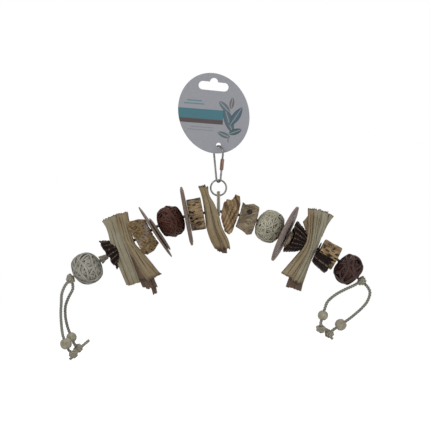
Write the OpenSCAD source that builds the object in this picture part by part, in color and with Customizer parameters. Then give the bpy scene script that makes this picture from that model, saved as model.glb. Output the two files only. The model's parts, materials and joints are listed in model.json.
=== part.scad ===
// Hanging garland toy for a cage bird: natural pieces strung on a stiff core,
// hung by a cord loop, a ring and a quick link from a card tag.
// Millimetres, +Z up, the front of the tag faces -Y.
// The origin is the centre of the round top of the tag's hang slot.

/* [Tag] */
// Long axis of the oval card
tag_long = 82; // [70:1:110]
// Short axis of the oval card
tag_short = 70; // [60:1:95]
// Thickness of the card
tag_t = 0.8; // [0.6:0.1:1.5]
// Width of the hang slot over its rounded wings
slot_w = 30; // [24:1:36]
// Height of the slot's wings
slot_h = 8.5; // [6:0.5:10]
// Radius of the slot's round top, where a peg bears
peg_r = 4; // [3:0.25:5]
// Radius of the hole that the link passes through
link_hole_r = 2.3; // [2.2:0.1:3]

/* [Quick link and ring] */
// Length of the link outside the wire
link_l = 38; // [34:1:46]
// Width of the link outside the wire
link_w = 18; // [16:0.5:22]
// Radius of the narrow lower bend at the wire's centre
link_low_r = 4; // [3.5:0.25:5]
// Thickness of the link's wire
link_wire = 2; // [1.6:0.1:2.4]
// Diameter of the screw sleeve
nut_d = 4; // [3.4:0.1:5]
// Length of the screw sleeve
nut_l = 11; // [9:0.5:13]
// Free gap that the sleeve uncovers
link_gap = 5; // [3:0.5:6]
// Diameter of the ring at the wire's centre
ring_d = 15.6; // [13:0.2:20]
// Thickness of the ring's wire
ring_wire = 1.8; // [1.2:0.1:2.2]

/* [String] */
// Thickness of the stiff core
core_d = 2.8; // [2.6:0.1:3.4]
// Thickness of the loop that hangs the core from the ring
loop_cord = 3.6; // [2.5:0.1:4]
// Length of the loop between the ring's wire and the core
loop_drop = 16; // [14:0.5:24]
// Slope that the two arms follow
arm_slope = 30; // [20:1:36]
// Thickness of the cord ends
cord_d = 3.3; // [2.5:0.1:3.8]
// Diameter of the knots that close the string
end_knot_d = 10; // [8:0.5:13]

/* [Vine balls] */
// Diameter of the pale balls
pale_ball_d = 32; // [26:1:40]
// Diameter of the brown balls
brown_ball_d = 31; // [26:1:38]
// Width of a vine strip
strip_w = 5; // [3:0.5:7]
// Thickness of a vine strip
strip_t = 1.2; // [0.8:0.1:2]

/* [Wood slices] */
// Diameter of the slices
slice_d = 60; // [44:1:70]
// Diameter of the small slice beside the left brown ball
small_slice_d = 38; // [32:1:46]
// Thickness of a thin slice
thin_slice_t = 2.4; // [2:0.1:4]
// Thickness of a thick slice
thick_slice_t = 4; // [3:0.1:6]
// Diameter of the small spacer disc
spacer_d = 17; // [14:0.5:22]
// Thickness of the small spacer disc
spacer_t = 4.5; // [3:0.5:7]

/* [Bell cups] */
// Diameter of a cup at its mouth
cup_d = 35; // [30:1:40]
// Depth of a cup
cup_l = 15; // [12:0.5:20]
// Diameter of a cup's narrow end
cup_end_d = 12; // [9:0.5:16]
// Wall of a cup
cup_wall = 1.6; // [1.2:0.1:2.4]
// Number of ribs round a cup
cup_ribs = 12; // [6:1:18]

/* [Husk bundles] */
// Height of the left bundle
left_husk_h = 90; // [76:1:100]
// Width of the left bundle at its widest
left_husk_w = 38; // [32:1:44]
// Length of the left bundle along the string
left_husk_l = 15; // [13:0.5:18]
// Height of the centre bundle
centre_husk_h = 73; // [60:1:84]
// Width of the centre bundle at its widest
centre_husk_w = 28; // [24:1:32]
// Length of the centre bundle along the string
centre_husk_l = 12; // [10:0.5:14]
// Height of the right bundle
right_husk_h = 86; // [72:1:96]
// Width of the right bundle at its widest
right_husk_w = 27; // [24:1:32]
// Length of the right bundle along the string
right_husk_l = 11.5; // [11:0.5:16]
// Height of the small leaf bundle
leaf_h = 35; // [30:1:38]
// Length of the small leaf bundle along the string
leaf_l = 16.5; // [14:0.5:20]

/* [Bark and wood pieces] */
// Length of the bark chunk along the string
bark_l = 19; // [15:0.5:24]
// Height of the bark chunk
bark_h = 35; // [28:1:37]
// Length of the wood block along the string
block_l = 17; // [15:0.5:23]
// Height of the wood block
block_h = 30; // [24:1:34]
// Diameter of the cactus wood log
log_d = 33; // [28:1:38]
// Length of the cactus wood log
log_l = 14; // [11:0.5:18]
// Diameter of the threaded cactus wood tube
tube_d = 26; // [22:0.5:30]
// Length of the threaded cactus wood tube
tube_l = 18; // [16:0.5:26]

/* [Beads] */
// Diameter of a large bead
bead_d = 12; // [10:0.5:15]
// Diameter of a small bead
small_bead_d = 10.5; // [9:0.5:13]

/* [Hidden] */
$fn = 48;

// Clearances and the overrun that every cut shares
seat_gap = 0.3;
rest_gap = 0.15;
running_gap = 0.3;
cut = 1;

// The card: tilt of the oval and of the slot, place of its centre and of the link's hole
tag_tilt = 20;
slot_tilt = -5.7;
tag_centre = [-0.2, -31.2];
link_hole = [4.5, -63];

// The link hangs in its hole, turned so that one leg stands in front of the card
link_turn = -57;
link_top_r = (link_w - link_wire) / 2;
link_top_z = link_hole.y - link_hole_r + link_wire / 2 + running_gap;
link_low_z = link_top_z - link_l + link_wire;
link_top_centre = link_top_z - link_top_r;
link_low_centre = link_low_z + link_low_r;
link_lean = asin((link_top_r - link_low_r) / (link_top_centre - link_low_centre));
link_leg = (link_top_centre - link_low_centre) * cos(link_lean);
// The sleeve starts this far below the wide bend, and the gap this far inside the sleeve
nut_start = 4;
nut_cover = 1;
// A small ball joins each bend to a leg, which both stop this far short of its middle
link_joint_more = 0.06;
link_joint_r = link_wire / 2 + link_joint_more;
link_joint_back = 0.3;

// The ring and the loop below it
ring_r = ring_d / 2;
ring_top_z = link_low_z + (link_wire + ring_wire) / 2 + rest_gap;
ring_z = ring_top_z - ring_r;
ring_low_z = ring_z - ring_r;
loop_r = (core_d + loop_cord) / 2;
core_z = ring_low_z - loop_drop;
core_r = core_d / 2;
knuckle_more = 0.05;
knuckle_r = core_r + knuckle_more;
bore_r = core_r + running_gap;
hang_x = link_hole.x;
// Half of the level stretch of core that the loop holds
core_flat = 2.6;

// Lengths along the string of the pieces that follow from their diameters
left_pale_l_share = 0.92;
right_pale_l_share = 0.84;
brown_ball_l_share = 0.84;
left_pale_l = left_pale_l_share * pale_ball_d;
right_pale_l = right_pale_l_share * pale_ball_d;
brown_ball_l = brown_ball_l_share * brown_ball_d;
broken_cup_l = 3;
stub_l = 9;
stub_d = 8;
// The broken cup clears the tube that it covers
broken_r = tube_d / 2 + running_gap;
broken_l = 17;
broken_span = 170;
broken_flare = 4 * cup_wall;
bark_t = 18;

// The spacer hangs this much lower than its bore
spacer_off = 4;
// The right slice is bored askew by this turn, so it takes more of the string
slice_turn = -6;
askew_slice_l = thick_slice_t + (spacer_d + 2 * spacer_off) * sin(abs(slice_turn));

// Half heights of the bundles' waists, which clear what turns beside them
neck_gap = 1.5;
cup_swell = 9;
cup_neck = cup_end_d / 2 + cup_swell;
left_in_neck = norm([bark_h, bark_t]) / 2 + neck_gap;
right_out_neck = broken_r + broken_flare + neck_gap;

// One row per piece, from the centre outwards: length, radius of its end face, share of the slope
left_row = [
    [centre_husk_l, centre_husk_l / 2, 0.22],
    [log_l, log_d / 2, 0.36],
    [thick_slice_t, slice_d / 2, 0.36],
    [brown_ball_l, cap_radius(brown_ball_d, brown_ball_l), 0.66],
    [thin_slice_t, small_slice_d / 2, 1.12],
    [thin_slice_t, slice_d / 2, 1.12],
    [bark_l, bark_h / 2, 1.02],
    [left_husk_l, left_in_neck, 0.97],
    [cup_l, cup_end_d / 2, 1.07],
    [stub_l, stub_d / 2, 1.05],
    [left_pale_l, cap_radius(pale_ball_d, left_pale_l), 1.03]
];
right_row = [
    [leaf_l, leaf_l, 0.37],
    [block_l, block_h / 2, 0.55],
    [right_pale_l, cap_radius(pale_ball_d, right_pale_l), 0.85],
    [askew_slice_l, slice_d / 2, 0.85],
    [spacer_t, spacer_d / 2, 0.83],
    [cup_l, cup_end_d / 2, 0.84],
    [right_husk_l, right_out_neck, 0.84],
    [broken_cup_l, broken_r, 0.87],
    [tube_l, tube_d / 2, 0.95],
    [brown_ball_l, cap_radius(brown_ball_d, brown_ball_l), 1.4]
];
LEFT = -1;
RIGHT = 1;

// Free cord routes, chosen by hand; the bead sits on the stretch after the point named for it
left_outer_route = [
    [-145, -1, -199], [-149, -2, -204], [-152, -3, -212], [-152.5, -3, -221], [-153, -3, -231],
    [-152.5, -3, -241], [-151.5, -3.2, -250], [-150, -3.5, -256], [-145.5, -4, -267], [-142, -4, -270]
];
left_inner_route = [
    [-142, 1, -200], [-141.5, 3, -207], [-146, 5, -216], [-149, 5.5, -225], [-149, 6, -235],
    [-147.5, 6.5, -243], [-145.5, 7, -249.5], [-140.5, 8, -262], [-138, 8, -265]
];
right_inner_route = [
    [146.3, -1.5, -199.5], [140, -5.5, -203], [130, -7, -207.5], [121, -7, -212.5], [113.5, -7, -219],
    [110.5, -7, -226], [106.5, -7, -240], [106.5, -7, -244]
];
right_outer_route = [
    [148.5, 1, -199.8], [154, 1, -205.5], [156, 1, -211.5], [153, 1, -220], [147, 1, -227],
    [139, 1, -234], [133, 1, -238.5], [120.5, 1, -247], [117, 1, -250]
];
left_outer_bead_at = 7;
left_inner_bead_at = 6;
right_inner_bead_at = 5;
right_outer_bead_at = 6;

// Knots under the beads: diameter of the wrap, of the second wrap, and length of the tail
knot_d = 8;
knot_step = 3.2;
short_tail = 7;
long_tail = 14;

// Sizes of details that one piece carries
bead_hole_r = cord_d / 2 + running_gap;
bead_flat_share = 0.86;
slice_bevel = 0.5;
small_slice_off = 8;
outer_slice_off = 3.6;
tube_hole_r = 5;
tube_window_r = 2.2;
tube_window_rows = 3;
husk_t = 20;
leaf_t = 12;
block_t = 22;
block_knot_r = 2.2;
block_knot_deep = 3;
groove_w = 3.5;
groove_deep = 2.5;
rib_w = 1.2;
rib_h = 0.9;

// Outlines as seen from the front, in shares of width and height, from the string outwards and up
left_top_shares = [[0.28, 0.19], [0.24, 0.375], [-0.21, 0.375], [-0.5, 0.33], [-0.42, 0.25]];
left_low_shares = [
    [-0.44, -0.25], [-0.47, -0.33], [-0.61, -0.46], [-0.45, -0.57], [-0.05, -0.625],
    [0.27, -0.55], [0.39, -0.44], [0.34, -0.25], [0.28, -0.19]
];
centre_husk_shares = [
    [0.214, 0], [0.17, 0.16], [0.2, 0.29], [0.37, 0.35], [0.32, 0.4], [0.03, 0.39],
    [0.03, 0.21], [-0.12, 0.17], [-0.2, 0], [-0.2, -0.26], [-0.57, -0.38], [-0.68, -0.49],
    [-0.64, -0.6], [-0.12, -0.58], [0.05, -0.35], [0.11, -0.15]
];
right_top_shares = [[0.36, 0.44], [0.03, 0.46], [-0.67, 0.4], [-0.66, 0.29]];
right_low_shares = [[-0.45, -0.32], [-0.61, -0.46], [-0.1, -0.53], [0.3, -0.54], [0.3, -0.44]];
leaf_shares = [
    [0.5, 0], [0.5, 0.3], [0.38, 0.54], [0.1, 0.57], [-0.05, 0.38], [-0.34, 0.38],
    [-0.5, 0.25], [-0.5, -0.2], [-0.4, -0.55], [0.05, -0.61], [0.3, -0.5], [0.42, -0.25]
];
bark_shares = [
    [0.5, 0.3], [0.36, 0.5], [-0.2, 0.46], [-0.5, 0.36], [-0.46, -0.2], [-0.5, -0.42],
    [-0.1, -0.54], [0.34, -0.5], [0.5, -0.38], [0.46, -0.05]
];
block_shares = [
    [0.5, 0.1], [0.44, 0.44], [0.1, 0.5], [-0.3, 0.4], [-0.5, 0.46], [-0.46, 0],
    [-0.5, -0.4], [-0.1, -0.47], [0.2, -0.56], [0.44, -0.5]
];
// Half thickness of a bundle seen from the side, in shares of thickness and height
bundle_side_shares = [
    [0.38, 0.6], [0.46, 0.25], [0.36, 0], [0.5, -0.3], [0.42, -0.7],
    [-0.42, -0.7], [-0.5, -0.3], [-0.36, 0], [-0.46, 0.25], [-0.38, 0.6]
];
chunk_side_shares = [
    [0.3, 0.6], [0.5, 0.3], [0.46, -0.2], [0.5, -0.35], [0.3, -0.6],
    [-0.3, -0.6], [-0.5, -0.35], [-0.46, -0.2], [-0.5, 0.3], [-0.3, 0.6]
];
// Tilts of the strips round a ball: about the string, then across it
strip_tilts = [[0, 90], [60, 62], [120, 115], [20, 40], [85, 140]];

// The flat face left where a ball of one diameter is cut to a length
function cap_radius(d, l) = sqrt(d * d - l * l) / 2;

// Places along the string
function length_of(row, i) = row[i][0];
function face_of(row, i) = i < 0 ? core_flat : row[i][1];
function slope_of(row, i) = i < 0 ? 0 : arm_slope * row[i][2];
function gap_at(row, i) =
    seat_gap + 2 * min(face_of(row, i), face_of(row, i - 1))
    * tan(abs(slope_of(row, i) - slope_of(row, i - 1)) / 2);
function along(slope) = [cos(slope), -sin(slope)];
function bend(row, i) =
    i == 0 ? [core_flat + gap_at(row, 0) / 2, core_z]
    : bend(row, i - 1) + along(slope_of(row, i - 1))
      * (gap_at(row, i - 1) / 2 + length_of(row, i - 1) + gap_past(row, i - 1) / 2);
function gap_past(row, i) = i == len(row) - 1 ? seat_gap : gap_at(row, i + 1);
function middle(row, i) =
    bend(row, i) + along(slope_of(row, i)) * (gap_at(row, i) + length_of(row, i)) / 2;

module on_side(side) {
    translate([hang_x, 0, 0])
        if (side == LEFT) mirror([1, 0, 0]) children();
        else children();
}

// The frame of one piece: +X outwards along the core from the piece's middle, +Z up
module strung(side, row, i) {
    spot = middle(row, i);
    on_side(side)
        translate([spot.x, 0, spot.y])
            rotate([0, slope_of(row, i), 0])
                children();
}

// A solid of revolution about the string
module turned() rotate([0, 90, 0]) rotate_extrude() children();

module bore(length) {
    turned()
        translate([0, -length / 2 - cut])
            square([bore_r, length + 2 * cut]);
}

function scaled(shares, w, h) = [for (p = shares) [p.x * w, p.y * h]];

// Two outlines crossed: one seen from the front in sizes, one from the side in shares
module crossed(front, side_shares, w, h, t) {
    intersection() {
        rotate([90, 0, 0])
            linear_extrude(2 * t, center = true)
                polygon(front);
        rotate([90, 0, 90])
            linear_extrude(3 * w, center = true)
                polygon(scaled(side_shares, t, h));
    }
}

module chunk(front_shares, side_shares, w, h, t) {
    crossed(scaled(front_shares, w, h), side_shares, w, h, t);
}

// Card tag
module slot_outline() {
    reach = (slot_w - slot_h) / 2;
    rotate(slot_tilt) {
        circle(r = peg_r);
        for (end = [-1, 1]) translate([end * reach, -slot_h / 2]) circle(d = slot_h);
        translate([-reach, -slot_h]) square([2 * reach, slot_h]);
    }
}

module tag() {
    color([0.86, 0.87, 0.88])
        rotate([90, 0, 0])
            linear_extrude(tag_t, center = true)
                difference() {
                    translate(tag_centre)
                        rotate(tag_tilt)
                            scale([tag_short, tag_long])
                                circle(d = 1, $fn = 72);
                    slot_outline();
                    translate(link_hole) circle(r = link_hole_r);
                }
}

// Quick link: wire round two bends, with a gap in the front leg under the sleeve
module bend_of_wire(r, from, span, wire) {
    rotate([90, 0, 0])
        rotate(from)
            rotate_extrude(angle = span)
                translate([r, 0])
                    circle(d = wire);
}

module link_frame() translate([hang_x, 0, 0]) rotate(link_turn) children();

// Down one leg from the wide bend, side 1 in front of the card and -1 behind it
module leg_frame(side) {
    translate([side * link_top_r * cos(link_lean), 0, link_top_centre - link_top_r * sin(link_lean)])
        rotate([0, side * link_lean, 0])
            mirror([0, 0, 1])
                children();
}

module link_bend(r, from, span) {
    short = link_joint_back / r * 180 / PI;
    bend_of_wire(r, from + short, span - 2 * short, link_wire);
}

module link_leg_part(side, from, to) {
    leg_frame(side)
        translate([0, 0, from])
            cylinder(d = link_wire, h = to - from);
}

module quick_link() {
    gap_from = nut_start + nut_cover;
    color([0.62, 0.63, 0.64])
        link_frame() {
            translate([0, 0, link_top_centre])
                link_bend(link_top_r, -link_lean, 180 + 2 * link_lean);
            translate([0, 0, link_low_centre])
                link_bend(link_low_r, 180 + link_lean, 180 - 2 * link_lean);
            link_leg_part(-1, link_joint_back, link_leg - link_joint_back);
            link_leg_part(1, link_joint_back, gap_from);
            link_leg_part(1, gap_from + link_gap, link_leg - link_joint_back);
            for (side = [-1, 1], at = [0, link_leg])
                leg_frame(side)
                    translate([0, 0, at])
                        sphere(r = link_joint_r);
        }
}

module link_nut() {
    color([0.5, 0.42, 0.36])
        link_frame()
            leg_frame(1)
                translate([0, 0, nut_start])
                    difference() {
                        cylinder(d = nut_d, h = nut_l, $fn = 6);
                        translate([0, 0, -cut])
                            cylinder(r = (link_wire + running_gap) / 2, h = nut_l + 2 * cut);
                    }
}

module ring() {
    color([0.6, 0.61, 0.62])
        translate([hang_x, 0, ring_z])
            rotate([90, 0, 0])
                rotate_extrude()
                    translate([ring_r, 0])
                        circle(d = ring_wire);
}

// Cord loop over the ring's lowest wire and under the core
module hanger_loop() {
    color([0.8, 0.78, 0.7])
        translate([hang_x, 0, 0])
            rotate(90) {
                translate([0, 0, ring_low_z]) bend_of_wire(loop_r, 0, 180, loop_cord);
                translate([0, 0, core_z]) bend_of_wire(loop_r, 180, 180, loop_cord);
                for (side = [-1, 1])
                    translate([side * loop_r, 0, core_z])
                        cylinder(d = loop_cord, h = loop_drop);
            }
}

// Stiff core: straight through each piece, bent in the gaps between them
module core_arm(row) {
    translate([0, 0, core_z]) rotate([0, 90, 0]) cylinder(r = core_r, h = bend(row, 0).x);
    for (i = [0 : len(row) - 1])
        translate([bend(row, i).x, 0, bend(row, i).y])
            rotate([0, 90 + slope_of(row, i), 0]) {
                sphere(r = knuckle_r);
                cylinder(r = core_r, h = (gap_at(row, i) + gap_past(row, i)) / 2 + length_of(row, i));
            }
}

module core() {
    color([0.45, 0.42, 0.38]) {
        on_side(LEFT) core_arm(left_row);
        on_side(RIGHT) core_arm(right_row);
    }
}

// The knot that closes one end of the string, flat where the core ends
module end_knot(side, row) {
    last = len(row) - 1;
    color([0.75, 0.73, 0.66])
        strung(side, row, last)
            translate([length_of(row, last) / 2 + seat_gap, 0, 0])
                intersection() {
                    translate([end_knot_d / 3, 0, 0]) sphere(d = end_knot_d);
                    rotate([0, 90, 0]) cylinder(d = end_knot_d, h = end_knot_d);
                }
}

// Woven ball: a hollow shell with raised strips round it
module vine_ball(d, length, shade) {
    color(shade)
        difference() {
            union() {
                difference() {
                    sphere(d = d - 2 * strip_t);
                    sphere(d = d - 5 * strip_t);
                }
                for (k = [0 : len(strip_tilts) - 1])
                    rotate([strip_tilts[k].x, strip_tilts[k].y, 0])
                        difference() {
                            cylinder(d = d - k * strip_t / 6, h = strip_w, center = true);
                            cylinder(d = d - 4 * strip_t, h = strip_w + 2 * cut, center = true);
                        }
            }
            bore(d);
            for (end = [-1, 1])
                translate([end * (length + d) / 2, 0, 0])
                    cube([d, d, d], center = true);
        }
}

module pale_ball(length) vine_ball(pale_ball_d, length, [0.82, 0.8, 0.72]);
module brown_ball() vine_ball(brown_ball_d, brown_ball_l, [0.36, 0.24, 0.2]);
module left_pale_ball() strung(LEFT, left_row, 10) pale_ball(left_pale_l);
module left_brown_ball() strung(LEFT, left_row, 3) brown_ball();
module right_pale_ball() strung(RIGHT, right_row, 2) pale_ball(right_pale_l);
module right_brown_ball() strung(RIGHT, right_row, 9) brown_ball();

// Discs cut across a branch, with a worn edge
module wood_disc(d, t) {
    turned()
        polygon([
            [0, -t / 2], [d / 2 - slice_bevel, -t / 2], [d / 2, slice_bevel - t / 2],
            [d / 2, t / 2 - slice_bevel], [d / 2 - slice_bevel, t / 2], [0, t / 2]
        ]);
}

// A disc on the string, hanging lower than its bore or turned askew on it
module bored_disc(d, t, shade, lower = 0, turn = 0) {
    color(shade)
        difference() {
            rotate([0, 0, turn])
                translate([0, 0, -lower])
                    wood_disc(d, t);
            bore(t + d * sin(abs(turn)));
        }
}

module inner_thin_slice()
    strung(LEFT, left_row, 4)
        bored_disc(small_slice_d, thin_slice_t, [0.72, 0.62, 0.48], lower = small_slice_off);
module outer_thin_slice()
    strung(LEFT, left_row, 5)
        bored_disc(slice_d, thin_slice_t, [0.72, 0.62, 0.48], lower = outer_slice_off);
module right_slice()
    strung(RIGHT, right_row, 3)
        bored_disc(slice_d, thick_slice_t, [0.7, 0.6, 0.46], turn = slice_turn);
module left_slice() strung(LEFT, left_row, 2) bored_disc(slice_d, thick_slice_t, [0.7, 0.6, 0.46]);
module spacer_disc()
    strung(RIGHT, right_row, 4)
        bored_disc(spacer_d, spacer_t, [0.74, 0.6, 0.42], lower = spacer_off);
module cord_stub() strung(LEFT, left_row, 9) bored_disc(stub_d, stub_l, [0.75, 0.72, 0.64]);

// Bell-shaped seed cup, mouth towards +X, ribbed outside
module bell_wall(end_r, mouth_r, length, wall) {
    bulge = (mouth_r - end_r) / 3;
    polygon([
        [bore_r, -length / 2], [end_r, -length / 2],
        [(end_r + mouth_r) / 2 + bulge, 0], [mouth_r, length / 2],
        [mouth_r - wall, length / 2], [(end_r + mouth_r) / 2 + bulge - wall, wall],
        [end_r, 2 * wall - length / 2], [bore_r, 2 * wall - length / 2]
    ]);
}

module bell_cup() {
    end_r = cup_end_d / 2;
    mouth_r = cup_d / 2 - rib_h;
    bulge = (mouth_r - end_r) / 3;
    color([0.2, 0.14, 0.12]) {
        turned() bell_wall(end_r, mouth_r, cup_l, cup_wall);
        for (k = [1 : cup_ribs])
            rotate([k * 360 / cup_ribs, 0, 0])
                rotate([90, 0, 0])
                    linear_extrude(rib_w, center = true)
                        polygon([
                            [-cup_l / 2, end_r - cup_wall], [-cup_l / 2, end_r],
                            [0, (end_r + mouth_r) / 2 + bulge + rib_h], [cup_l / 2, mouth_r + rib_h],
                            [cup_l / 2, mouth_r - cup_wall / 2],
                            [0, (end_r + mouth_r) / 2 + bulge - cup_wall / 2]
                        ]);
    }
}

module left_cup() strung(LEFT, left_row, 8) bell_cup();
module right_cup() strung(RIGHT, right_row, 5) mirror([1, 0, 0]) bell_cup();

// Broken cup: its base disc is whole, and the rest of its wall hangs below the tube
module broken_cup() {
    base = broken_cup_l;
    color([0.18, 0.13, 0.12])
        strung(RIGHT, right_row, 7) {
            difference() {
                wood_disc(2 * broken_r, base);
                bore(base);
            }
            rotate([0, 90, 0])
                rotate(-broken_span / 2)
                    rotate_extrude(angle = broken_span)
                        polygon([
                            [broken_r - cup_wall, -base / 2], [broken_r, -base / 2],
                            [broken_r + 3 * cup_wall, broken_l / 3], [broken_r + broken_flare, broken_l],
                            [broken_r + 3 * cup_wall, broken_l],
                            [broken_r + 2 * cup_wall, broken_l / 3],
                            [broken_r, base / 2], [broken_r - cup_wall, base / 2]
                        ]);
        }
}

// Husk and leaf bundles, threaded through their waists
module husk(front, w, h, length) {
    color([0.8, 0.72, 0.55])
        difference() {
            crossed(front, bundle_side_shares, w, h, husk_t);
            bore(length);
        }
}

// A bundle's outline: a waist as long as its share of string, a spread top and a spread foot
function bundle_outline(w, h, length, out_neck, in_neck, top_shares, low_shares) =
    concat(
        [[length / 2, -out_neck], [length / 2, out_neck]],
        scaled(top_shares, w, h),
        [[-length / 2, in_neck], [-length / 2, -in_neck]],
        scaled(low_shares, w, h)
    );

module left_husk() {
    outline = bundle_outline(
        left_husk_w, left_husk_h, left_husk_l, cup_neck, left_in_neck,
        left_top_shares, left_low_shares
    );
    strung(LEFT, left_row, 7) husk(outline, left_husk_w, left_husk_h, left_husk_l);
}

module centre_husk() {
    outline = scaled(centre_husk_shares, centre_husk_w, centre_husk_h);
    strung(LEFT, left_row, 0) husk(outline, centre_husk_w, centre_husk_h, centre_husk_l);
}

module right_husk() {
    outline = bundle_outline(
        right_husk_w, right_husk_h, right_husk_l, right_out_neck, cup_neck,
        right_top_shares, right_low_shares
    );
    strung(RIGHT, right_row, 6) husk(outline, right_husk_w, right_husk_h, right_husk_l);
}

module leaf_bundle() {
    color([0.5, 0.3, 0.16])
        strung(RIGHT, right_row, 0)
            difference() {
                chunk(leaf_shares, bundle_side_shares, leaf_l, leaf_h, leaf_t);
                bore(leaf_l);
            }
}

// Bark, block and cactus wood
module bark_chunk() {
    color([0.62, 0.46, 0.26])
        strung(LEFT, left_row, 6)
            difference() {
                chunk(bark_shares, chunk_side_shares, bark_l, bark_h, bark_t);
                bore(bark_l);
            }
}

module wood_block() {
    color([0.56, 0.48, 0.38])
        strung(RIGHT, right_row, 1)
            difference() {
                chunk(block_shares, chunk_side_shares, block_l, block_h, block_t);
                bore(block_l);
                translate([0, -block_t / 2 - cut, block_h / 5])
                    rotate([-90, 0, 0])
                        cylinder(r = block_knot_r, h = block_knot_deep + cut);
                translate([-block_l / 2 - cut, -block_t / 2 - cut, block_h / 4])
                    cube([block_l + 2 * cut, groove_deep + cut, groove_w]);
            }
}

module cactus_log() {
    color([0.66, 0.52, 0.34])
        strung(LEFT, left_row, 1)
            difference() {
                rotate([0, 90, 0]) cylinder(d = log_d, h = log_l, center = true);
                bore(log_l);
            }
}

module cactus_tube() {
    color([0.66, 0.52, 0.34])
        strung(RIGHT, right_row, 8)
            difference() {
                rotate([0, 90, 0]) cylinder(d = tube_d, h = tube_l, center = true);
                rotate([0, 90, 0]) cylinder(r = tube_hole_r, h = tube_l - 4 * strip_t, center = true);
                bore(tube_l);
                for (k = [0 : tube_window_rows - 1])
                    translate([(k - 1) * tube_l / 4, 0, 0])
                        rotate([k * 60, 0, 0])
                            cylinder(r = tube_window_r, h = tube_d + 2 * cut, center = true);
            }
}

// Cords: eight-sided tubes swept along their routes
function unit(v) = v / norm(v);
function heading(route, i) =
    unit(route[min(i + 1, len(route) - 1)] - route[max(i - 1, 0)]);
function side_way(way) = unit(cross(way, [0, 1, 0]));
function ring_points(route, i, r, sides) =
    let (way = heading(route, i), a = side_way(way), b = cross(way, a))
    [for (k = [0 : sides - 1]) route[i] + r * (cos(k * 360 / sides) * a + sin(k * 360 / sides) * b)];

module cord(route) {
    sides = 8;
    rings = len(route);
    points = [for (i = [0 : rings - 1]) each ring_points(route, i, cord_d / 2, sides)];
    walls = [
        for (i = [0 : rings - 2], k = [0 : sides - 1])
            let (a = i * sides + k, b = i * sides + (k + 1) % sides)
            each [[a, b, b + sides], [a, b + sides, a + sides]]
    ];
    first = [for (k = [0 : sides - 1]) sides - 1 - k];
    last = [for (k = [0 : sides - 1]) (rings - 1) * sides + k];
    color([0.78, 0.76, 0.7]) polyhedron(points, concat(walls, [first, last]));
}

module left_outer_cord() cord(left_outer_route);
module left_inner_cord() cord(left_inner_route);
module right_inner_cord() cord(right_inner_route);
module right_outer_cord() cord(right_outer_route);

// +Z along the stretch of cord after one point of its route, from a share of its length
module on_cord(route, i, share) {
    way = unit(route[i + 1] - route[i]);
    translate(route[i] * (1 - share) + route[i + 1] * share)
        rotate([0, acos(way.z), atan2(way.y, way.x)])
            children();
}

module bead(d) {
    flat = d * bead_flat_share / 2;
    color([0.84, 0.74, 0.56])
        difference() {
            intersection() {
                sphere(d = d);
                cylinder(d = d, h = 2 * flat, center = true);
            }
            cylinder(r = bead_hole_r, h = d + 2 * cut, center = true);
        }
}

module left_outer_bead() on_cord(left_outer_route, left_outer_bead_at, 0.5) bead(bead_d);
module left_inner_bead() on_cord(left_inner_route, left_inner_bead_at, 0.5) bead(small_bead_d);
module right_inner_bead() on_cord(right_inner_route, right_inner_bead_at, 0.5) bead(small_bead_d);
module right_outer_bead() on_cord(right_outer_route, right_outer_bead_at, 0.5) bead(bead_d);

// A knot under a bead: two wraps of cord and a tail that leaves to one side
module tail_knot(route, turn, tail) {
    color([0.76, 0.73, 0.64])
        on_cord(route, len(route) - 2, 1) {
            rotate_extrude() translate([(knot_d - cord_d) / 2, 0]) circle(d = cord_d);
            cylinder(d = knot_d - cord_d, h = cord_d, center = true);
            translate([0, 0, knot_step]) sphere(d = knot_d - cord_d / 3);
            translate([0, 0, knot_step])
                rotate([0, 90, turn])
                    cylinder(d = cord_d, h = tail);
        }
}

module left_outer_knot() tail_knot(left_outer_route, 0, short_tail);
module left_inner_knot() tail_knot(left_inner_route, 180, long_tail);
module right_inner_knot() tail_knot(right_inner_route, 150, short_tail);
module right_outer_knot() tail_knot(right_outer_route, 30, short_tail);
module left_end_knot() end_knot(LEFT, left_row);
module right_end_knot() end_knot(RIGHT, right_row);

tag();
quick_link();
link_nut();
ring();
hanger_loop();
core();
left_end_knot();
left_pale_ball();
cord_stub();
left_cup();
left_husk();
bark_chunk();
outer_thin_slice();
inner_thin_slice();
left_brown_ball();
left_slice();
cactus_log();
centre_husk();
leaf_bundle();
wood_block();
right_pale_ball();
right_slice();
spacer_disc();
right_cup();
right_husk();
broken_cup();
cactus_tube();
right_brown_ball();
right_end_knot();
left_outer_cord();
left_inner_cord();
right_inner_cord();
right_outer_cord();
left_outer_bead();
left_inner_bead();
right_inner_bead();
right_outer_bead();
left_outer_knot();
left_inner_knot();
right_inner_knot();
right_outer_knot();
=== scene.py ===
import json
import math
import random

import bmesh
import bpy
from mathutils import Matrix, Vector, noise


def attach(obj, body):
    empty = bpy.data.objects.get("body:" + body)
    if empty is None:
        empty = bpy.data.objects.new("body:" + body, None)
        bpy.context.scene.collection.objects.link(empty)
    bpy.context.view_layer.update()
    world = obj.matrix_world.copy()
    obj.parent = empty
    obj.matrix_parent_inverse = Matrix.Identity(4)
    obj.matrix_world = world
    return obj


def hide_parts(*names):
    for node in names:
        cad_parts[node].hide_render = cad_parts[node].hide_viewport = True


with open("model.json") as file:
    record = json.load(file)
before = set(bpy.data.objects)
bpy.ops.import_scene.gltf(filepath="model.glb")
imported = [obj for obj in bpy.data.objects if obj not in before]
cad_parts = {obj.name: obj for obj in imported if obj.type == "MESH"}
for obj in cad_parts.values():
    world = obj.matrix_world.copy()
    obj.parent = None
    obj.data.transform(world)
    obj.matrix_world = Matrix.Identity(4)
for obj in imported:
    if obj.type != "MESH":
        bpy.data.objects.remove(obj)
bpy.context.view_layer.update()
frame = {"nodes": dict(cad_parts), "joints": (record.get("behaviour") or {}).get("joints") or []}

MM = 0.001
TURN = 2 * math.pi


# Colours and node trees

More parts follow.
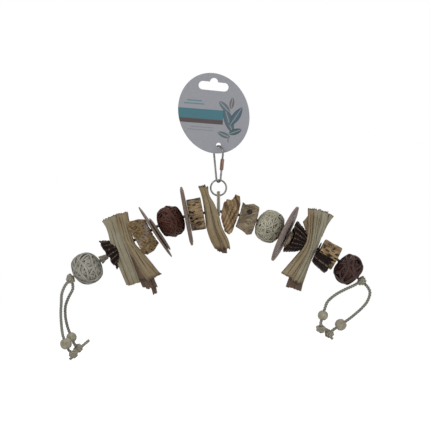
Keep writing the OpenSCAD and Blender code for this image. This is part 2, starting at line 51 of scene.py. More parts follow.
def tint(value):
    """A colour of three numbers as it looks on screen, 0 to 255, or a single level, made linear."""
    if not isinstance(value, tuple):
        return (value, value, value, 1.0)
    parts = [part / 255 for part in value]
    return (*(p / 12.92 if p <= 0.04045 else ((p + 0.055) / 1.055) ** 2.4 for p in parts), 1.0)


def add(tree, kind, inputs=None, **settings):
    """One node, with its settings, and its inputs linked or set."""
    node = tree.nodes.new(kind)
    for name, value in settings.items():
        setattr(node, name, value)
    for name, value in (inputs or {}).items():
        if isinstance(value, bpy.types.NodeSocket):
            tree.links.new(value, node.inputs[name])
        else:
            node.inputs[name].default_value = value
    return node


def calculate(tree, operation, *values):
    """A sum worked out in a node tree."""
    return add(tree, "ShaderNodeMath", dict(enumerate(values)), operation=operation).outputs[0]


class Finish:
    """A material, built a node at a time."""

    def __init__(self, name, roughness, others=None):
        self.material = bpy.data.materials.new(name)
        self.material.use_nodes = True
        self.tree = self.material.node_tree
        self.shader = self.tree.nodes["Principled BSDF"]
        for socket, value in {"Roughness": roughness, **(others or {})}.items():
            self.shader.inputs[socket].default_value = value
        self.place = self.add("ShaderNodeTexCoord").outputs["Object"]

    def add(self, kind, inputs=None, **settings):
        return add(self.tree, kind, inputs, **settings)

    def math(self, operation, *values):
        return calculate(self.tree, operation, *values)

    def lay(self):
        """The piece's own UV map, in millimetres across and along."""
        return self.add("ShaderNodeUVMap", uv_map="lay").outputs["UV"]

    def mark(self):
        """The piece's own marks, 0 to 1: wear, cracks and brown ends, and painted shade in its hollows, pits,
        creases and gaps.
        """
        return self.add("ShaderNodeAttribute", attribute_name="mark").outputs["Fac"]

    def turned(self, degrees):
        """Object coordinates turned about the way from front to back."""
        return self.add(
            "ShaderNodeVectorRotate", {"Vector": self.place, "Rotation": (0, math.radians(degrees), 0)},
            rotation_type="EULER_XYZ",
        ).outputs[0]

    def scaled(self, place, scale):
        """A place times one number, or times one for each way."""
        scales = scale if isinstance(scale, tuple) else (scale, scale, scale)
        return self.add("ShaderNodeVectorMath", {0: place, 1: scales}, operation="MULTIPLY").outputs[0]

    def noise(self, place, scale, detail=3, rough=0.55, distortion=0.0):
        return self.add(
            "ShaderNodeTexNoise",
            {"Vector": self.scaled(place, scale), "Scale": 1.0, "Detail": detail, "Roughness": rough,
             "Distortion": distortion},
        ).outputs["Fac"]

    def ramp(self, value, *stops):
        """Colours or levels at given places."""
        node = self.add("ShaderNodeValToRGB", {"Fac": value})
        points = node.color_ramp.elements
        while len(points) < len(stops):
            points.new(0.5)
        for point, (where, colour) in zip(points, stops):
            point.position = where
            point.color = tint(colour)
        return node.outputs["Color"]

    def mix(self, share, first, second, blend="MIX"):
        colours = [v if isinstance(v, bpy.types.NodeSocket) else tint(v) for v in (first, second)]
        return self.add(
            "ShaderNodeMix", {0: share, 6: colours[0], 7: colours[1]}, data_type="RGBA", blend_type=blend
        ).outputs[2]

    def shaded(self, share, colour, shade):
        return self.mix(share, colour, shade, "MULTIPLY")

    def soiled(self, share, colour, place, scale, low, dirt, high):
        """A colour with broad patches of dirt where the noise is low."""
        return self.shaded(share, colour, self.ramp(self.noise(place, scale), (low, dirt), (high, 1.0)))

    def done(self, colour, height, strength, depth, rough=None):
        """Joins the colour, the relief in millimetres and the roughness to the shader."""
        self.tree.links.new(colour, self.shader.inputs["Base Color"])
        if rough is not None:
            self.tree.links.new(rough, self.shader.inputs["Roughness"])
        bump = self.add("ShaderNodeBump", {"Height": height, "Strength": strength, "Distance": depth * MM})
        self.tree.links.new(bump.outputs[0], self.shader.inputs["Normal"])
        return self.material


# Camera, light and floor

PHOTO_WIDTH = 430 * MM
VIEW_DISTANCE = 2.0
SENSOR_WIDTH = 36
# The photograph's middle in the object's frame
MIDDLE_X, MIDDLE_Z = 1 * MM, -133 * MM

camera_data = bpy.data.cameras.new("view_camera")
camera_data.sensor_width = SENSOR_WIDTH
camera_data.lens = SENSOR_WIDTH * VIEW_DISTANCE / PHOTO_WIDTH
camera = bpy.data.objects.new("view_camera", camera_data)
camera.location = (MIDDLE_X, -VIEW_DISTANCE, MIDDLE_Z)
camera.rotation_euler = (math.pi / 2, 0, 0)
bpy.context.scene.collection.objects.link(camera)
bpy.context.scene.camera = camera
bpy.context.scene.view_settings.view_transform = "Standard"


def seen_plainly(tree):
    """1 for rays from the camera and in mirrors and glass, 0 for light on the object."""
    rays = add(tree, "ShaderNodeLightPath").outputs
    either = calculate(tree, "MAXIMUM", rays["Is Camera Ray"], rays["Is Glossy Ray"])
    return calculate(tree, "MAXIMUM", either, rays["Is Transmission Ray"])


world = bpy.data.worlds.new("studio")
bpy.context.scene.world = world
world.use_nodes = True
sky = world.node_tree
sky.nodes.clear()
soft_light = add(sky, "ShaderNodeBackground", {"Color": (0.95, 0.98, 1.0, 1.0), "Strength": 0.42})
backdrop = add(sky, "ShaderNodeBackground", {"Color": tint(1.0), "Strength": 1.0})
either_sky = add(
    sky, "ShaderNodeMixShader", {0: seen_plainly(sky), 1: soft_light.outputs[0], 2: backdrop.outputs[0]}
)
add(sky, "ShaderNodeOutputWorld", {"Surface": either_sky.outputs[0]})


LAMP_AIM = Vector((0, 0, -0.15))


def soft_lamp(name, place, size, watts):
    """A round lamp that faces the garland."""
    data = bpy.data.lights.new(name, "AREA")
    data.shape = "DISK"
    data.size = size
    data.energy = watts
    lamp = bpy.data.objects.new(name, data)
    lamp.location = place
    lamp.rotation_euler = (LAMP_AIM - Vector(place)).to_track_quat("-Z", "Y").to_euler()
    bpy.context.scene.collection.objects.link(lamp)


soft_lamp("key_lamp", (-0.7, -1.1, 0.75), 0.7, 11)
soft_lamp("fill_lamp", (1.0, -1.0, 0.1), 0.9, 5)
soft_lamp("back_lamp", (0.3, 1.2, 0.7), 0.8, 7)

FLOOR_Z = -0.36
floor_mesh = bpy.data.meshes.new("studio_floor")
floor_mesh.from_pydata(
    [(-3, -3, FLOOR_Z), (3, -3, FLOOR_Z), (3, 3, FLOOR_Z), (-3, 3, FLOOR_Z)], [], [(0, 1, 2, 3)]
)
studio_floor = bpy.data.objects.new("studio_floor", floor_mesh)
bpy.context.scene.collection.objects.link(studio_floor)
floor_finish = Finish("pale_floor", 0.9)
floor_glow = floor_finish.add("ShaderNodeEmission", {"Color": tint(1.0), "Strength": 0.66})
floor_white = floor_finish.add("ShaderNodeAddShader")
floor_tree = floor_finish.tree
floor_finish.shader.inputs["Base Color"].default_value = (0.8, 0.8, 0.8, 1.0)
floor_tree.links.new(floor_finish.shader.outputs[0], floor_white.inputs[0])
floor_tree.links.new(floor_glow.outputs[0], floor_white.inputs[1])
floor_mix = floor_finish.add(
    "ShaderNodeMixShader",
    {0: seen_plainly(floor_tree), 1: floor_finish.shader.outputs[0], 2: floor_white.outputs[0]},
)
floor_tree.links.new(floor_mix.outputs[0], floor_tree.nodes["Material Output"].inputs["Surface"])
floor_mesh.materials.append(floor_finish.material)


# Meshes, made in millimetres

def piece_of(name, points, faces, lay=None, marks=None, outward=True):
    """A new mesh object at the origin, with its UV map and its mark for each point, which holds wear and
    painted shade.
    """
    mesh = bpy.data.meshes.new(name)
    mesh.from_pydata([Vector(p) * MM for p in points], [], faces)
    if outward:
        shell = bmesh.new()
        shell.from_mesh(mesh)
        bmesh.ops.recalc_face_normals(shell, faces=shell.faces)
        shell.to_mesh(mesh)
        shell.free()
    if lay is not None:
        layer = mesh.uv_layers.new(name="lay")
        for loop in mesh.loops:
            layer.data[loop.index].uv = lay[loop.vertex_index]
    store = mesh.attributes.new("mark", "FLOAT", "POINT")
    for k, value in enumerate(marks or []):
        store.data[k].value = value
    mesh.polygons.foreach_set("use_smooth", [True] * len(mesh.polygons))
    mesh.update()
    obj = bpy.data.objects.new(name, mesh)
    bpy.context.scene.collection.objects.link(obj)
    return obj


def joined(parts):
    """Several (points, faces, lay, marks) as one."""
    points, faces, lay, marks = [], [], [], []
    for some_points, some_faces, some_lay, some_marks in parts:
        start = len(points)
        points += list(some_points)
        faces += [tuple(start + k for k in face) for face in some_faces]
        lay += list(some_lay)
        marks += list(some_marks)
    return points, faces, lay, marks


def skin(rings, loop=False, closed=True):
    """Faces over rings of points, each ring as long as the next; a tube's two ends are capped."""
    wide = len(rings[0])
    high = len(rings)
    faces = []
    for i in range(high if loop else high - 1):
        j = (i + 1) % high
        for k in range(wide if closed else wide - 1):
            n = (k + 1) % wide
            faces.append((i * wide + k, i * wide + n, j * wide + n, j * wide + k))
    if closed and not loop:
        faces.append(tuple(reversed(range(wide))))
        faces.append(tuple((high - 1) * wide + k for k in range(wide)))
    return [p for ring in rings for p in ring], faces


def round_shell(steps, rows_at):
    """A shell round the +X axis, from the rows at each angle: x, radius, the two of its map, and its mark,
    which holds wear and painted shade.
    """
    rings, lay, marks = [], [], []
    for k in range(steps):
        angle = TURN * k / steps
        rows = rows_at(angle)
        rings.append([(x, r * math.cos(angle), r * math.sin(angle)) for x, r, _, _, _ in rows])
        lay += [(u, v) for _, _, u, v, _ in rows]
        marks += [mark for _, _, _, _, mark in rows]
    return (*skin(rings, loop=True), lay, marks)


def smooth_path(points, step, loop=False):
    """A curve through the points, cut into about equal steps."""
    knots = [Vector(p) for p in points]
    count = len(knots)
    fine = []
    for i in range(count if loop else count - 1):
        if loop:
            a, b, c, d = (knots[(i + k) % count] for k in (-1, 0, 1, 2))
        else:
            a, b, c, d = (knots[min(max(i + k, 0), count - 1)] for k in (-1, 0, 1, 2))
        for k in range(20):
            t = k / 20
            fine.append(
                0.5 * (2 * b + (c - a) * t + (2 * a - 5 * b + 4 * c - d) * t * t
                       + (3 * b - a - 3 * c + d) * t ** 3)
            )
    fine.append(knots[0] if loop else knots[-1])
    lengths = [0.0]
    for k in range(1, len(fine)):
        lengths.append(lengths[-1] + (fine[k] - fine[k - 1]).length)
    pieces = max(2, round(lengths[-1] / step))
    even = []
    k = 0
    for i in range(pieces if loop else pieces + 1):
        want = lengths[-1] * i / pieces
        while k < len(lengths) - 2 and lengths[k + 1] < want:
            k += 1
        span = lengths[k + 1] - lengths[k]
        even.append(fine[k].lerp(fine[k + 1], (want - lengths[k]) / span if span else 0.0))
    return even


def axes_along(path, loop=False):
    """Two cross directions at each point of a path, that don't spin round it."""
    count = len(path)
    ways = []
    for i in range(count):
        if loop:
            ways.append((path[(i + 1) % count] - path[i - 1]).normalized())
        else:
            ways.append((path[min(i + 1, count - 1)] - path[max(i - 1, 0)]).normalized())
    side = ways[0].orthogonal()
    side = (side - ways[0] * side.dot(ways[0])).normalized()
    pairs = []
    for way in ways:
        side = (side - way * side.dot(way)).normalized()
        pairs.append((side, way.cross(side)))
    return pairs


def sweep(path, section, loop=False, twist=0.0):
    """A section drawn along a path; twist is turns per millimetre."""
    rings, lay = [], []
    length = 0.0
    for i, (point, (side, other)) in enumerate(zip(path, axes_along(path, loop))):
        if i:
            length += (path[i] - path[i - 1]).length
        turn = TURN * twist * length
        ring = []
        for k, (x, y) in enumerate(section):
            u = x * math.cos(turn) - y * math.sin(turn)
            v = x * math.sin(turn) + y * math.cos(turn)
            ring.append(point + side * u + other * v)
            lay.append((k / len(section), length))
        rings.append(ring)
    points, faces = skin(rings, loop)
    return points, faces, lay, [0.0] * len(points)


def spoke(side, up, angle):
    """The way out from an axis, at an angle between its two cross directions."""
    return side * math.cos(angle) + up * math.sin(angle)


def circle(radius, sides):
    """A round section."""
    return [(radius * math.cos(TURN * k / sides), radius * math.sin(TURN * k / sides)) for k in range(sides)]


def rope_section(radius):
    """The outline of three round strands laid side by side."""
    strands, sides = 3, 18
    strand = 0.48 * radius
    centre = radius - strand
    ring = []
    for k in range(sides):
        angle = TURN * k / sides
        off = (angle + math.pi / strands) % (TURN / strands) - math.pi / strands
        under = strand ** 2 - (centre * math.sin(off)) ** 2
        reach = centre * math.cos(off) + math.sqrt(max(under, 0.0))
        reach = max(reach, 0.66 * radius)
        ring.append((reach * math.cos(angle), reach * math.sin(angle)))
    return ring


def rope(path, radius, pitch=0.13, loop=False):
    """A twisted cord, with marks 1 in the grooves between its strands."""
    section = rope_section(radius)
    points, faces, lay, _ = sweep(path, section, loop, pitch)
    depths = [1 - math.hypot(x, y) / radius for x, y in section]
    deepest = max(depths)
    return points, faces, lay, [depths[k % len(section)] / deepest for k in range(len(points))]


def plain(obj):
    """Applies whatever modifiers a piece has."""
    bpy.context.view_layer.update()
    sight = bpy.context.evaluated_depsgraph_get()
    made = bpy.data.meshes.new_from_object(obj.evaluated_get(sight))
    obj.modifiers.clear()
    obj.data = made
    made.name = obj.name


def finish_piece(obj, material, node, body=None):
    """Material, the CAD node that it stands for, and its body if that has another name."""
    obj.data.materials.clear()
    obj.data.materials.append(material)
    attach(obj, body or node)
    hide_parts(node)


joints = {joint["child"]: joint for joint in frame["joints"]}


def place_of(body):
    """Where a strung piece is: +X to the right along the core, +Y to the back, +Z up."""
    joint = joints[body]
    right = Vector(joint["axis"]).normalized()
    if right.x < 0:
        right.negate()
    up = right.cross(Vector((0, 1, 0)))
    place = Matrix((right, (0, 1, 0), up)).transposed().to_4x4()
    place.translation = Vector(joint["pos_m"])
    return place


def thread_on(obj, material, node):
    """Puts a piece that was made at the origin in its place on the core, and finishes it."""
    obj.data.transform(place_of(node))
    finish_piece(obj, material, node)


# Finishes

# How far apart the leaf tones lie across the leaves' own maps
LEAF_TONE = 1000
# The card's print: its tilt, then boxes as left, right, low, high and colour, from the tag's origin
PRINT_TILT = -4.5
CARD_BOXES = (
    (-60, 12, -37.6, -27.8, (46, 96, 106)), (-60, 12, -42, -37.6, (60, 44, 44)),
    (-20, 3, -46.2, -45.5, (112, 112, 118)), (-23, 3, -49.0, -48.3, (112, 112, 118)),
    (-28, -8, -23.4, -22.2, (74, 112, 120)), (-25.5, -10.5, -20.4, -19.2, (74, 112, 120)),
)
# Leaves as centre, angle, length, width and colour
CARD_LEAVES = (
    (17.5, -37, 112, 30, 9, (72, 92, 102)), (24.5, -33, 60, 24, 8, (60, 84, 96)),
    (12.5, -24, 138, 17, 6, (92, 106, 114)), (25, -48, 24, 15, 6, (54, 78, 82)),
    (14, -52, 160, 15, 5.4, (84, 100, 104)), (19.5, -20, 84, 13, 4.6, (104, 92, 90)),
    (18.5, -56.5, 96, 10, 1.3, (58, 44, 42)),
)
VEIN_HALF = 0.28


def make_husk():
    """Dried leaf: fine ribs along it, a tone for each leaf, brown ends, and painted shade along its creases.
    """
    make = Finish("husk_finish", 0.6, {"Sheen Weight": 0.1})
    lay = make.lay()
    across = make.add("ShaderNodeSeparateXYZ", {0: lay}).outputs[0]
    ribs = make.noise(lay, (2.4, 0.012, 1), 3, 0.6)
    fibres = make.noise(lay, (7.0, 0.08, 1), 4, 0.6)
    tone = make.ramp(
        make.math("DIVIDE", across, 3 * LEAF_TONE), (0.2, (136, 122, 94)), (0.3, (140, 135, 117)),
        (0.5, (140, 135, 117)), (0.6, (108, 85, 57)),
    )
    streaks = make.ramp(ribs, (0.34, (206, 194, 170)), (0.5, (242, 238, 230)), (0.62, 1.0))
    colour = make.shaded(0.9, tone, streaks)
    colour = make.shaded(0.5, colour, make.ramp(fibres, (0.3, 0.82), (0.6, 1.0)))
    colour = make.soiled(0.6, colour, make.place, 60, 0.34, (214, 192, 152), 0.6)
    # The mark paints the brown ends, and painted shade along the creases
    colour = make.mix(make.ramp(make.mark(), (0.08, 0.0), (0.85, 0.92)), colour, (66, 45, 29))
    return make.done(colour, make.math("ADD", make.math("MULTIPLY", fibres, 0.4), ribs), 0.6, 0.4)


def make_vine(name, rough, stops, tones, gap):
    """Vine strip: its three tones at the stops of its grain, and gap, the colour of the painted shade on each
    strip's inner side and edges, between the strips.
    """
    make = Finish(name, rough, {"Specular IOR Level": 0.3})
    grain = make.noise(make.lay(), (2.2, 0.12, 1), 4, 0.6)
    colour = make.ramp(grain, *zip(stops, tones))
    colour = make.soiled(0.7, colour, make.place, 150, 0.3, 0.55, 0.62)
    # Painted shade: the mark darkens each strip towards the gap colour on its inner side and edges
    colour = make.mix(make.math("MULTIPLY", make.mark(), 0.9), colour, gap)
    return make.done(colour, grain, 0.5, 0.3)


def make_pod():
    """Near-black seed cup, with paler worn ridges."""
    make = Finish("pod_finish", 0.6, {"Specular IOR Level": 0.08})
    rough_skin = make.noise(make.place, 420, 5, 0.6)
    cracks = make.add(
        "ShaderNodeTexVoronoi", {"Vector": make.scaled(make.place, 190), "Scale": 1.0, "Randomness": 1.0},
        feature="DISTANCE_TO_EDGE",
    ).outputs["Distance"]
    colour = make.ramp(rough_skin, (0.34, (7, 5, 5)), (0.54, (22, 14, 12)), (0.72, (46, 31, 26)))
    worn = make.ramp(rough_skin, (0.38, (50, 35, 30)), (0.54, (104, 82, 70)), (0.7, (150, 130, 116)))
    colour = make.mix(make.ramp(make.mark(), (0.3, 0.0), (0.85, 0.9)), colour, worn)
    height = make.math("ADD", rough_skin, make.ramp(cracks, (0.0, 0.0), (0.12, 0.6)))
    return make.done(colour, height, 0.8, 0.6)


def make_slice(name, light, dark):
    """A sawn face with growth rings, and a rim of thin bark."""
    make = Finish(name, 0.74)
    rings = make.add(
        "ShaderNodeTexWave",
        {"Vector": make.scaled(make.lay(), (0.35, 0.35, 1)), "Scale": 1.0, "Distortion": 1.2, "Detail": 2.0},
        wave_type="RINGS", rings_direction="Z",
    ).outputs["Fac"]
    grain = make.noise(make.place, 900, 4, 0.6)
    wood = make.ramp(rings, (0.15, dark), (0.75, light))
    wood = make.soiled(0.6, wood, make.place, 70, 0.35, (184, 174, 166), 0.65)
    wood = make.shaded(0.5, wood, make.ramp(grain, (0.35, 0.72), (0.6, 1.0)))
    rim = make.mix(make.ramp(grain, (0.35, 0.2), (0.6, 1.0)), dark, light)
    rim = make.shaded(0.85, rim, (214, 202, 196))
    colour = make.mix(make.ramp(make.mark(), (0.4, 0.0), (0.7, 1.0)), wood, rim)
    return make.done(colour, make.math("ADD", grain, make.math("MULTIPLY", rings, 0.4)), 0.5, 0.3)


def make_bark():
    """Cork bark: fine streaks, grey patches, and painted shade in its hollows and cracks."""
    make = Finish("bark_finish", 0.8)
    place = make.turned(-28)
    broad = make.noise(place, (90, 90, 160), 4, 0.6)
    fine = make.noise(place, (170, 170, 460), 5, 0.65, 0.6)
    colour = make.ramp(
        fine, (0.3, (54, 38, 24)), (0.44, (108, 86, 54)), (0.58, (138, 114, 74)), (0.74, (170, 150, 114))
    )
    colour = make.mix(make.ramp(make.noise(place, 70), (0.47, 0.0), (0.58, 0.85)), colour, (134, 120, 116))
    # Painted shade: dark in the hollows where the broad noise is low, and through the mark in the cracks and
    # grit pits
    colour = make.mix(make.ramp(broad, (0.28, 0.85), (0.4, 0.0)), colour, (58, 40, 26))
    colour = make.mix(make.mark(), colour, (40, 26, 18))
    return make.done(colour, make.math("ADD", fine, broad), 0.9, 0.9)


def make_dry_leaf():
    """Brown folded leaf, striped down its folds, with painted shade in its pits and folds."""
    make = Finish("dry_leaf_finish", 0.75)
    place = make.turned(20)
    stripes = make.noise(place, (460, 160, 46), 4, 0.6, 0.8)
    pits = make.noise(place, (480, 300, 160), 3, 0.5, 0.4)
    colour = make.ramp(
        stripes, (0.32, (56, 36, 22)), (0.44, (104, 78, 50)), (0.55, (138, 112, 76)), (0.7, (158, 138, 104))
    )
    # Painted shade in the pits, and through the mark in the sunk folds and grit pits
    colour = make.mix(make.ramp(pits, (0.28, 0.95), (0.38, 0.0)), colour, (42, 27, 18))
    colour = make.mix(make.mark(), colour, (48, 32, 20))
    return make.done(colour, make.math("ADD", stripes, pits), 0.9, 0.8)


def make_block():
    """Weathered grey wood, grained along the block."""
    make = Finish("block_finish", 0.78)
    place = make.turned(17)
    grain = make.noise(place, (110, 420, 520), 5, 0.6, 0.4)
    colour = make.ramp(
        grain, (0.3, (74, 60, 46)), (0.46, (118, 104, 82)), (0.62, (142, 128, 104)), (0.78, (160, 148, 124))
    )
    colour = make.soiled(0.8, colour, place, (80, 80, 140), 0.32, (150, 130, 108), 0.62)
    # The mark darkens the splits, the knot hole's patch and the grit pits with painted shade
    colour = make.mix(make.mark(), colour, (44, 34, 26))
    return make.done(colour, grain, 0.8, 0.6)


def make_cactus():
    """Dried cactus wood: streaks along it, and painted shade in its pits."""
    make = Finish("cactus_finish", 0.74)
    grain = make.noise(make.lay(), (0.9, 0.16, 1), 5, 0.65, 0.5)
    colour = make.ramp(
        grain, (0.3, (78, 56, 36)), (0.43, (128, 102, 68)), (0.56, (158, 135, 98)), (0.74, (180, 160, 124))
    )
    colour = make.soiled(0.8, colour, make.place, (110, 110, 150), 0.32, (140, 112, 84), 0.58)
    # The mark darkens the streaks, and paints shade in the pits, along the top and foot and at the bore
    colour = make.mix(make.mark(), colour, (36, 23, 17))
    return make.done(colour, grain, 0.8, 0.5)


def make_cord(name, *tones):
    """Twisted cotton, flecked in three tones, with shaded grooves."""
    make = Finish(name, 0.85, {"Sheen Weight": 0.2})
    flecks = make.noise(make.lay(), (9, 1.2, 1), 3, 0.6)
    fibres = make.noise(make.place, 2200, 3, 0.6)
    colour = make.ramp(flecks, *zip((0.34, 0.48, 0.66), tones))
    colour = make.shaded(0.6, colour, make.ramp(fibres, (0.3, 0.6), (0.6, 1.0)))
    colour = make.mix(make.ramp(make.mark(), (0.35, 0.0), (1.0, 0.8)), colour, (70, 66, 56))
    return make.done(colour, fibres, 0.8, 0.3)


def make_bead():
    """Turned wood, worn and a little grey."""
    make = Finish("bead_finish", 0.6)
    grain = make.noise(make.place, (700, 700, 120), 4, 0.6)
    colour = make.ramp(grain, (0.3, (128, 121, 102)), (0.55, (152, 147, 130)), (0.75, (168, 164, 150)))
    colour = make.soiled(0.7, colour, make.place, 190, 0.34, (196, 178, 150), 0.6)
    # Painted shade from the mark, towards and inside the bore
    colour = make.mix(make.mark(), colour, (64, 55, 44))
    return make.done(colour, grain, 0.35, 0.2)


def make_card():
    """The tag: pale coated card, printed in front with two bands, lines and a spray of leaves."""
    make = Finish("card_finish", 0.42, {"Coat Weight": 0.25})
    place = make.scaled(make.turned(PRINT_TILT), 1000)
    x, _, z = make.add("ShaderNodeSeparateXYZ", {0: place}).outputs
    facing = make.add("ShaderNodeSeparateXYZ", {0: make.add("ShaderNodeNewGeometry").outputs["Normal"]})
    mottle = make.noise(make.place, 400)

    def between(value, low, high):
        """1 where the value is between the two."""
        above = make.math("GREATER_THAN", value, low)
        return make.math("MULTIPLY", above, make.math("LESS_THAN", value, high))

    def leaf(at_x, at_z, angle, length, width):
        """Above 0 inside a pointed leaf, most along its middle, and 1 on its vein."""
        c, s = math.cos(math.radians(angle)), math.sin(math.radians(angle))
        off_x, off_z = make.math("SUBTRACT", x, at_x), make.math("SUBTRACT", z, at_z)
        along = make.math("ADD", make.math("MULTIPLY", off_x, c), make.math("MULTIPLY", off_z, s))
        across = make.math("SUBTRACT", make.math("MULTIPLY", off_z, c), make.math("MULTIPLY", off_x, s))
        part = make.math("DIVIDE", along, length / 2)
        bulge = make.math("SUBTRACT", 1.0, make.math("MULTIPLY", part, part))
        off_middle = make.math("ABSOLUTE", across)
        inside = make.math("SUBTRACT", make.math("MULTIPLY", bulge, width / 2), off_middle)
        return inside, make.math("LESS_THAN", off_middle, VEIN_HALF)

    bare = make.shaded(0.5, (136, 137, 142), make.ramp(mottle, (0.35, 0.9), (0.65, 1.0)))
    printed = bare
    for left, right, low, high, ink in CARD_BOXES:
        inside = make.math("MULTIPLY", between(x, left, right), between(z, low, high))
        printed = make.mix(inside, printed, ink)
    for at_x, at_z, angle, length, width, ink in CARD_LEAVES:
        inside, vein = leaf(at_x, at_z, angle, length, width)
        darker = tuple(0.72 * c for c in ink)
        shade = make.ramp(make.math("DIVIDE", inside, width / 2), (0.0, darker), (0.9, ink))
        shade = make.mix(make.math("MULTIPLY", vein, 0.7), shade, (150, 160, 166))
        printed = make.mix(make.math("GREATER_THAN", inside, 0.0), printed, shade)
    in_front = make.math("LESS_THAN", facing.outputs[1], -0.5)
    return make.done(make.mix(in_front, bare, printed), mottle, 0.1, 0.05)


def make_metal(name, light, dark, roughness):
    """Metal with small scuffs, duller in them."""
    make = Finish(name, roughness, {"Metallic": 1.0})
    scuffs = make.noise(make.place, (900, 900, 300), 4, 0.6)
    rough = make.ramp(scuffs, (0.3, roughness + 0.18), (0.65, roughness))
    return make.done(make.ramp(scuffs, (0.35, dark), (0.6, light)), scuffs, 0.25, 0.08, rough)


PALE_STOPS = (0.3, 0.48, 0.7)
BROWN_STOPS = (0.3, 0.5, 0.72)
husk = make_husk()
pale_vine = make_vine(
    "pale_vine_finish", 0.65, PALE_STOPS, ((122, 117, 102), (156, 153, 140), (178, 177, 166)), (70, 62, 48)
)
cream_vine = make_vine(
    "cream_vine_finish", 0.65, PALE_STOPS, ((136, 128, 106), (172, 167, 146), (192, 189, 172)), (74, 58, 42)
)
brown_vine = make_vine(
    "brown_vine_finish", 0.6, BROWN_STOPS, ((38, 16, 11), (68, 34, 24), (124, 72, 52)), (16, 7, 6)
)
dark_vine = make_vine(
    "dark_vine_finish", 0.6, BROWN_STOPS, ((26, 11, 8), (50, 25, 19), (104, 61, 46)), (10, 5, 4)
)
pod = make_pod()
slice_wood = make_slice("slice_finish", (128, 112, 100), (98, 82, 72))
pink_slice_wood = make_slice("pink_slice_finish", (140, 126, 120), (122, 107, 101))
# Lighter than the spacer's own wood: painted light against the shade of the slice beside it
spacer_wood = make_slice("spacer_finish", (224, 206, 178), (202, 184, 156))
bark = make_bark()
dry_leaf = make_dry_leaf()
block_wood = make_block()
cactus_wood = make_cactus()
cord_finish = make_cord("cord_finish", (98, 95, 84), (138, 136, 124), (164, 162, 150))
knot_finish = make_cord("knot_finish", (121, 112, 92), (157, 149, 130), (179, 172, 155))
card = make_card()
bead_wood = make_bead()
bright_wire = make_metal("bright_wire_finish", (132, 130, 128), (84, 82, 80), 0.36)
sleeve_metal = make_metal("sleeve_finish", (124, 100, 88), (78, 60, 52), 0.42)
core_wire = make_metal("core_finish", (112, 104, 96), (70, 64, 58), 0.55)
for node, material in (("tag", card), ("core", core_wire)):
    frame["nodes"][node].data.materials.clear()
    frame["nodes"][node].data.materials.append(material)


# Free cords, with the bead and the knot on each

CORD_R = 1.65
cord_routes = {
    "left_outer": [
        (-145, -1, -199), (-149, -2, -204), (-152, -3, -212), (-152.5, -3, -221), (-153, -3, -231),
        (-152.5, -3, -241), (-151.5, -3.2, -250), (-150, -3.5, -256), (-145.5, -4, -267),
        (-142, -4, -270),
    ],
    "left_inner": [
        (-142, 1, -200), (-141.5, 3, -207), (-146, 5, -216), (-149, 5.5, -225), (-149, 6, -235),
        (-147.5, 6.5, -243), (-145.5, 7, -249.5), (-140.5, 8, -262), (-138, 8, -265),
    ],
    "right_inner": [
        (146.3, -1.5, -199.5), (140, -5.5, -203), (130, -7, -207.5), (121, -7, -212.5),
        (113.5, -7, -219), (110.5, -7, -226), (106.5, -7, -240), (106.5, -7, -244),
    ],
    "right_outer": [
        (148.5, 1, -199.8), (154, 1, -205.5), (156, 1, -211.5), (153, 1, -220), (147, 1, -227),
        (139, 1, -234), (133, 1, -238.5), (120.5, 1, -247), (117, 1, -250),
    ],
}
# The point of its route that each bead comes after
bead_after = {"left_outer": 7, "left_inner": 6, "right_inner": 5, "right_outer": 6}
bead_sizes = {"left_outer": 12, "left_inner": 10.5, "right_inner": 10.5, "right_outer": 12}
# How far each knot is turned, in degrees, and how far its tail stands out
knot_tails = {
    "left_outer": (0, 7), "left_inner": (180, 14), "right_inner": (150, 7), "right_outer": (30, 7),
}


def knot_path(tail):
    """A fat overhand knot: in along +Z, round three times, and out to one side."""
    return [
        (0, 0, -2.2), (0.6, 0.2, -0.8), (2.9, -1.2, 0.4), (3.0, 1.8, 1.4), (0.2, 3.4, 1.9),
        (-2.9, 1.9, 1.6), (-3.1, -1.5, 0.9), (-0.3, -3.3, 0.6), (2.8, -2.0, 1.8), (3.1, 1.2, 3.0),
        (0.4, 3.0, 3.8), (-2.5, 1.7, 4.0), (-2.9, -1.3, 3.4), (-0.3, -2.8, 3.0), (2.2, -1.8, 4.0),
        (2.0, 0.8, 5.2), (-0.6, 1.2, 5.4), (-1.2, -0.6, 4.4), (1.4, -0.2, 3.8), (3.8, 0.2, 3.4),
        (tail, 0, 3.2),
    ]


def along(route, i, share):
    """The frame on a cord after point i, +Z along it."""
    first, last = Vector(route[i]), Vector(route[i + 1])
    way = (last - first).normalized()
    place = Matrix.Rotation(math.atan2(way.y, way.x), 4, "Z") @ Matrix.Rotation(math.acos(way.z), 4, "Y")
    place.translation = first.lerp(last, share)
    return place


def make_bead_piece(name, diameter):
    """A turned wooden bead, lathed round +Z, with painted shade towards and inside its bore."""
    radius = diameter / 2
    bore = CORD_R + 0.32
    flat = 0.86 * radius
    outline = []
    for k in range(15):
        angle = math.radians(-59.3 + 118.6 * k / 14)
        outline.append((radius * math.cos(angle) * 0.998, radius * math.sin(angle), 0.0))
    # Marks: painted shade on the end faces beside the bore, deepest inside it
    outline += [(bore + 0.5, flat, 0.25), (bore + 0.1, flat - 0.35, 0.9)]
    outline += [(bore, 0, 1.0), (bore + 0.1, 0.35 - flat, 0.9), (bore + 0.5, -flat, 0.25)]
    rings, marks = [], []
    for k in range(40):
        angle = TURN * k / 40
        rings.append([(r * math.cos(angle), r * math.sin(angle), z) for r, z, _ in outline])
        marks += [m for _, _, m in outline]
    points, faces = skin(rings, loop=True)
    return piece_of(name, points, faces, None, marks)


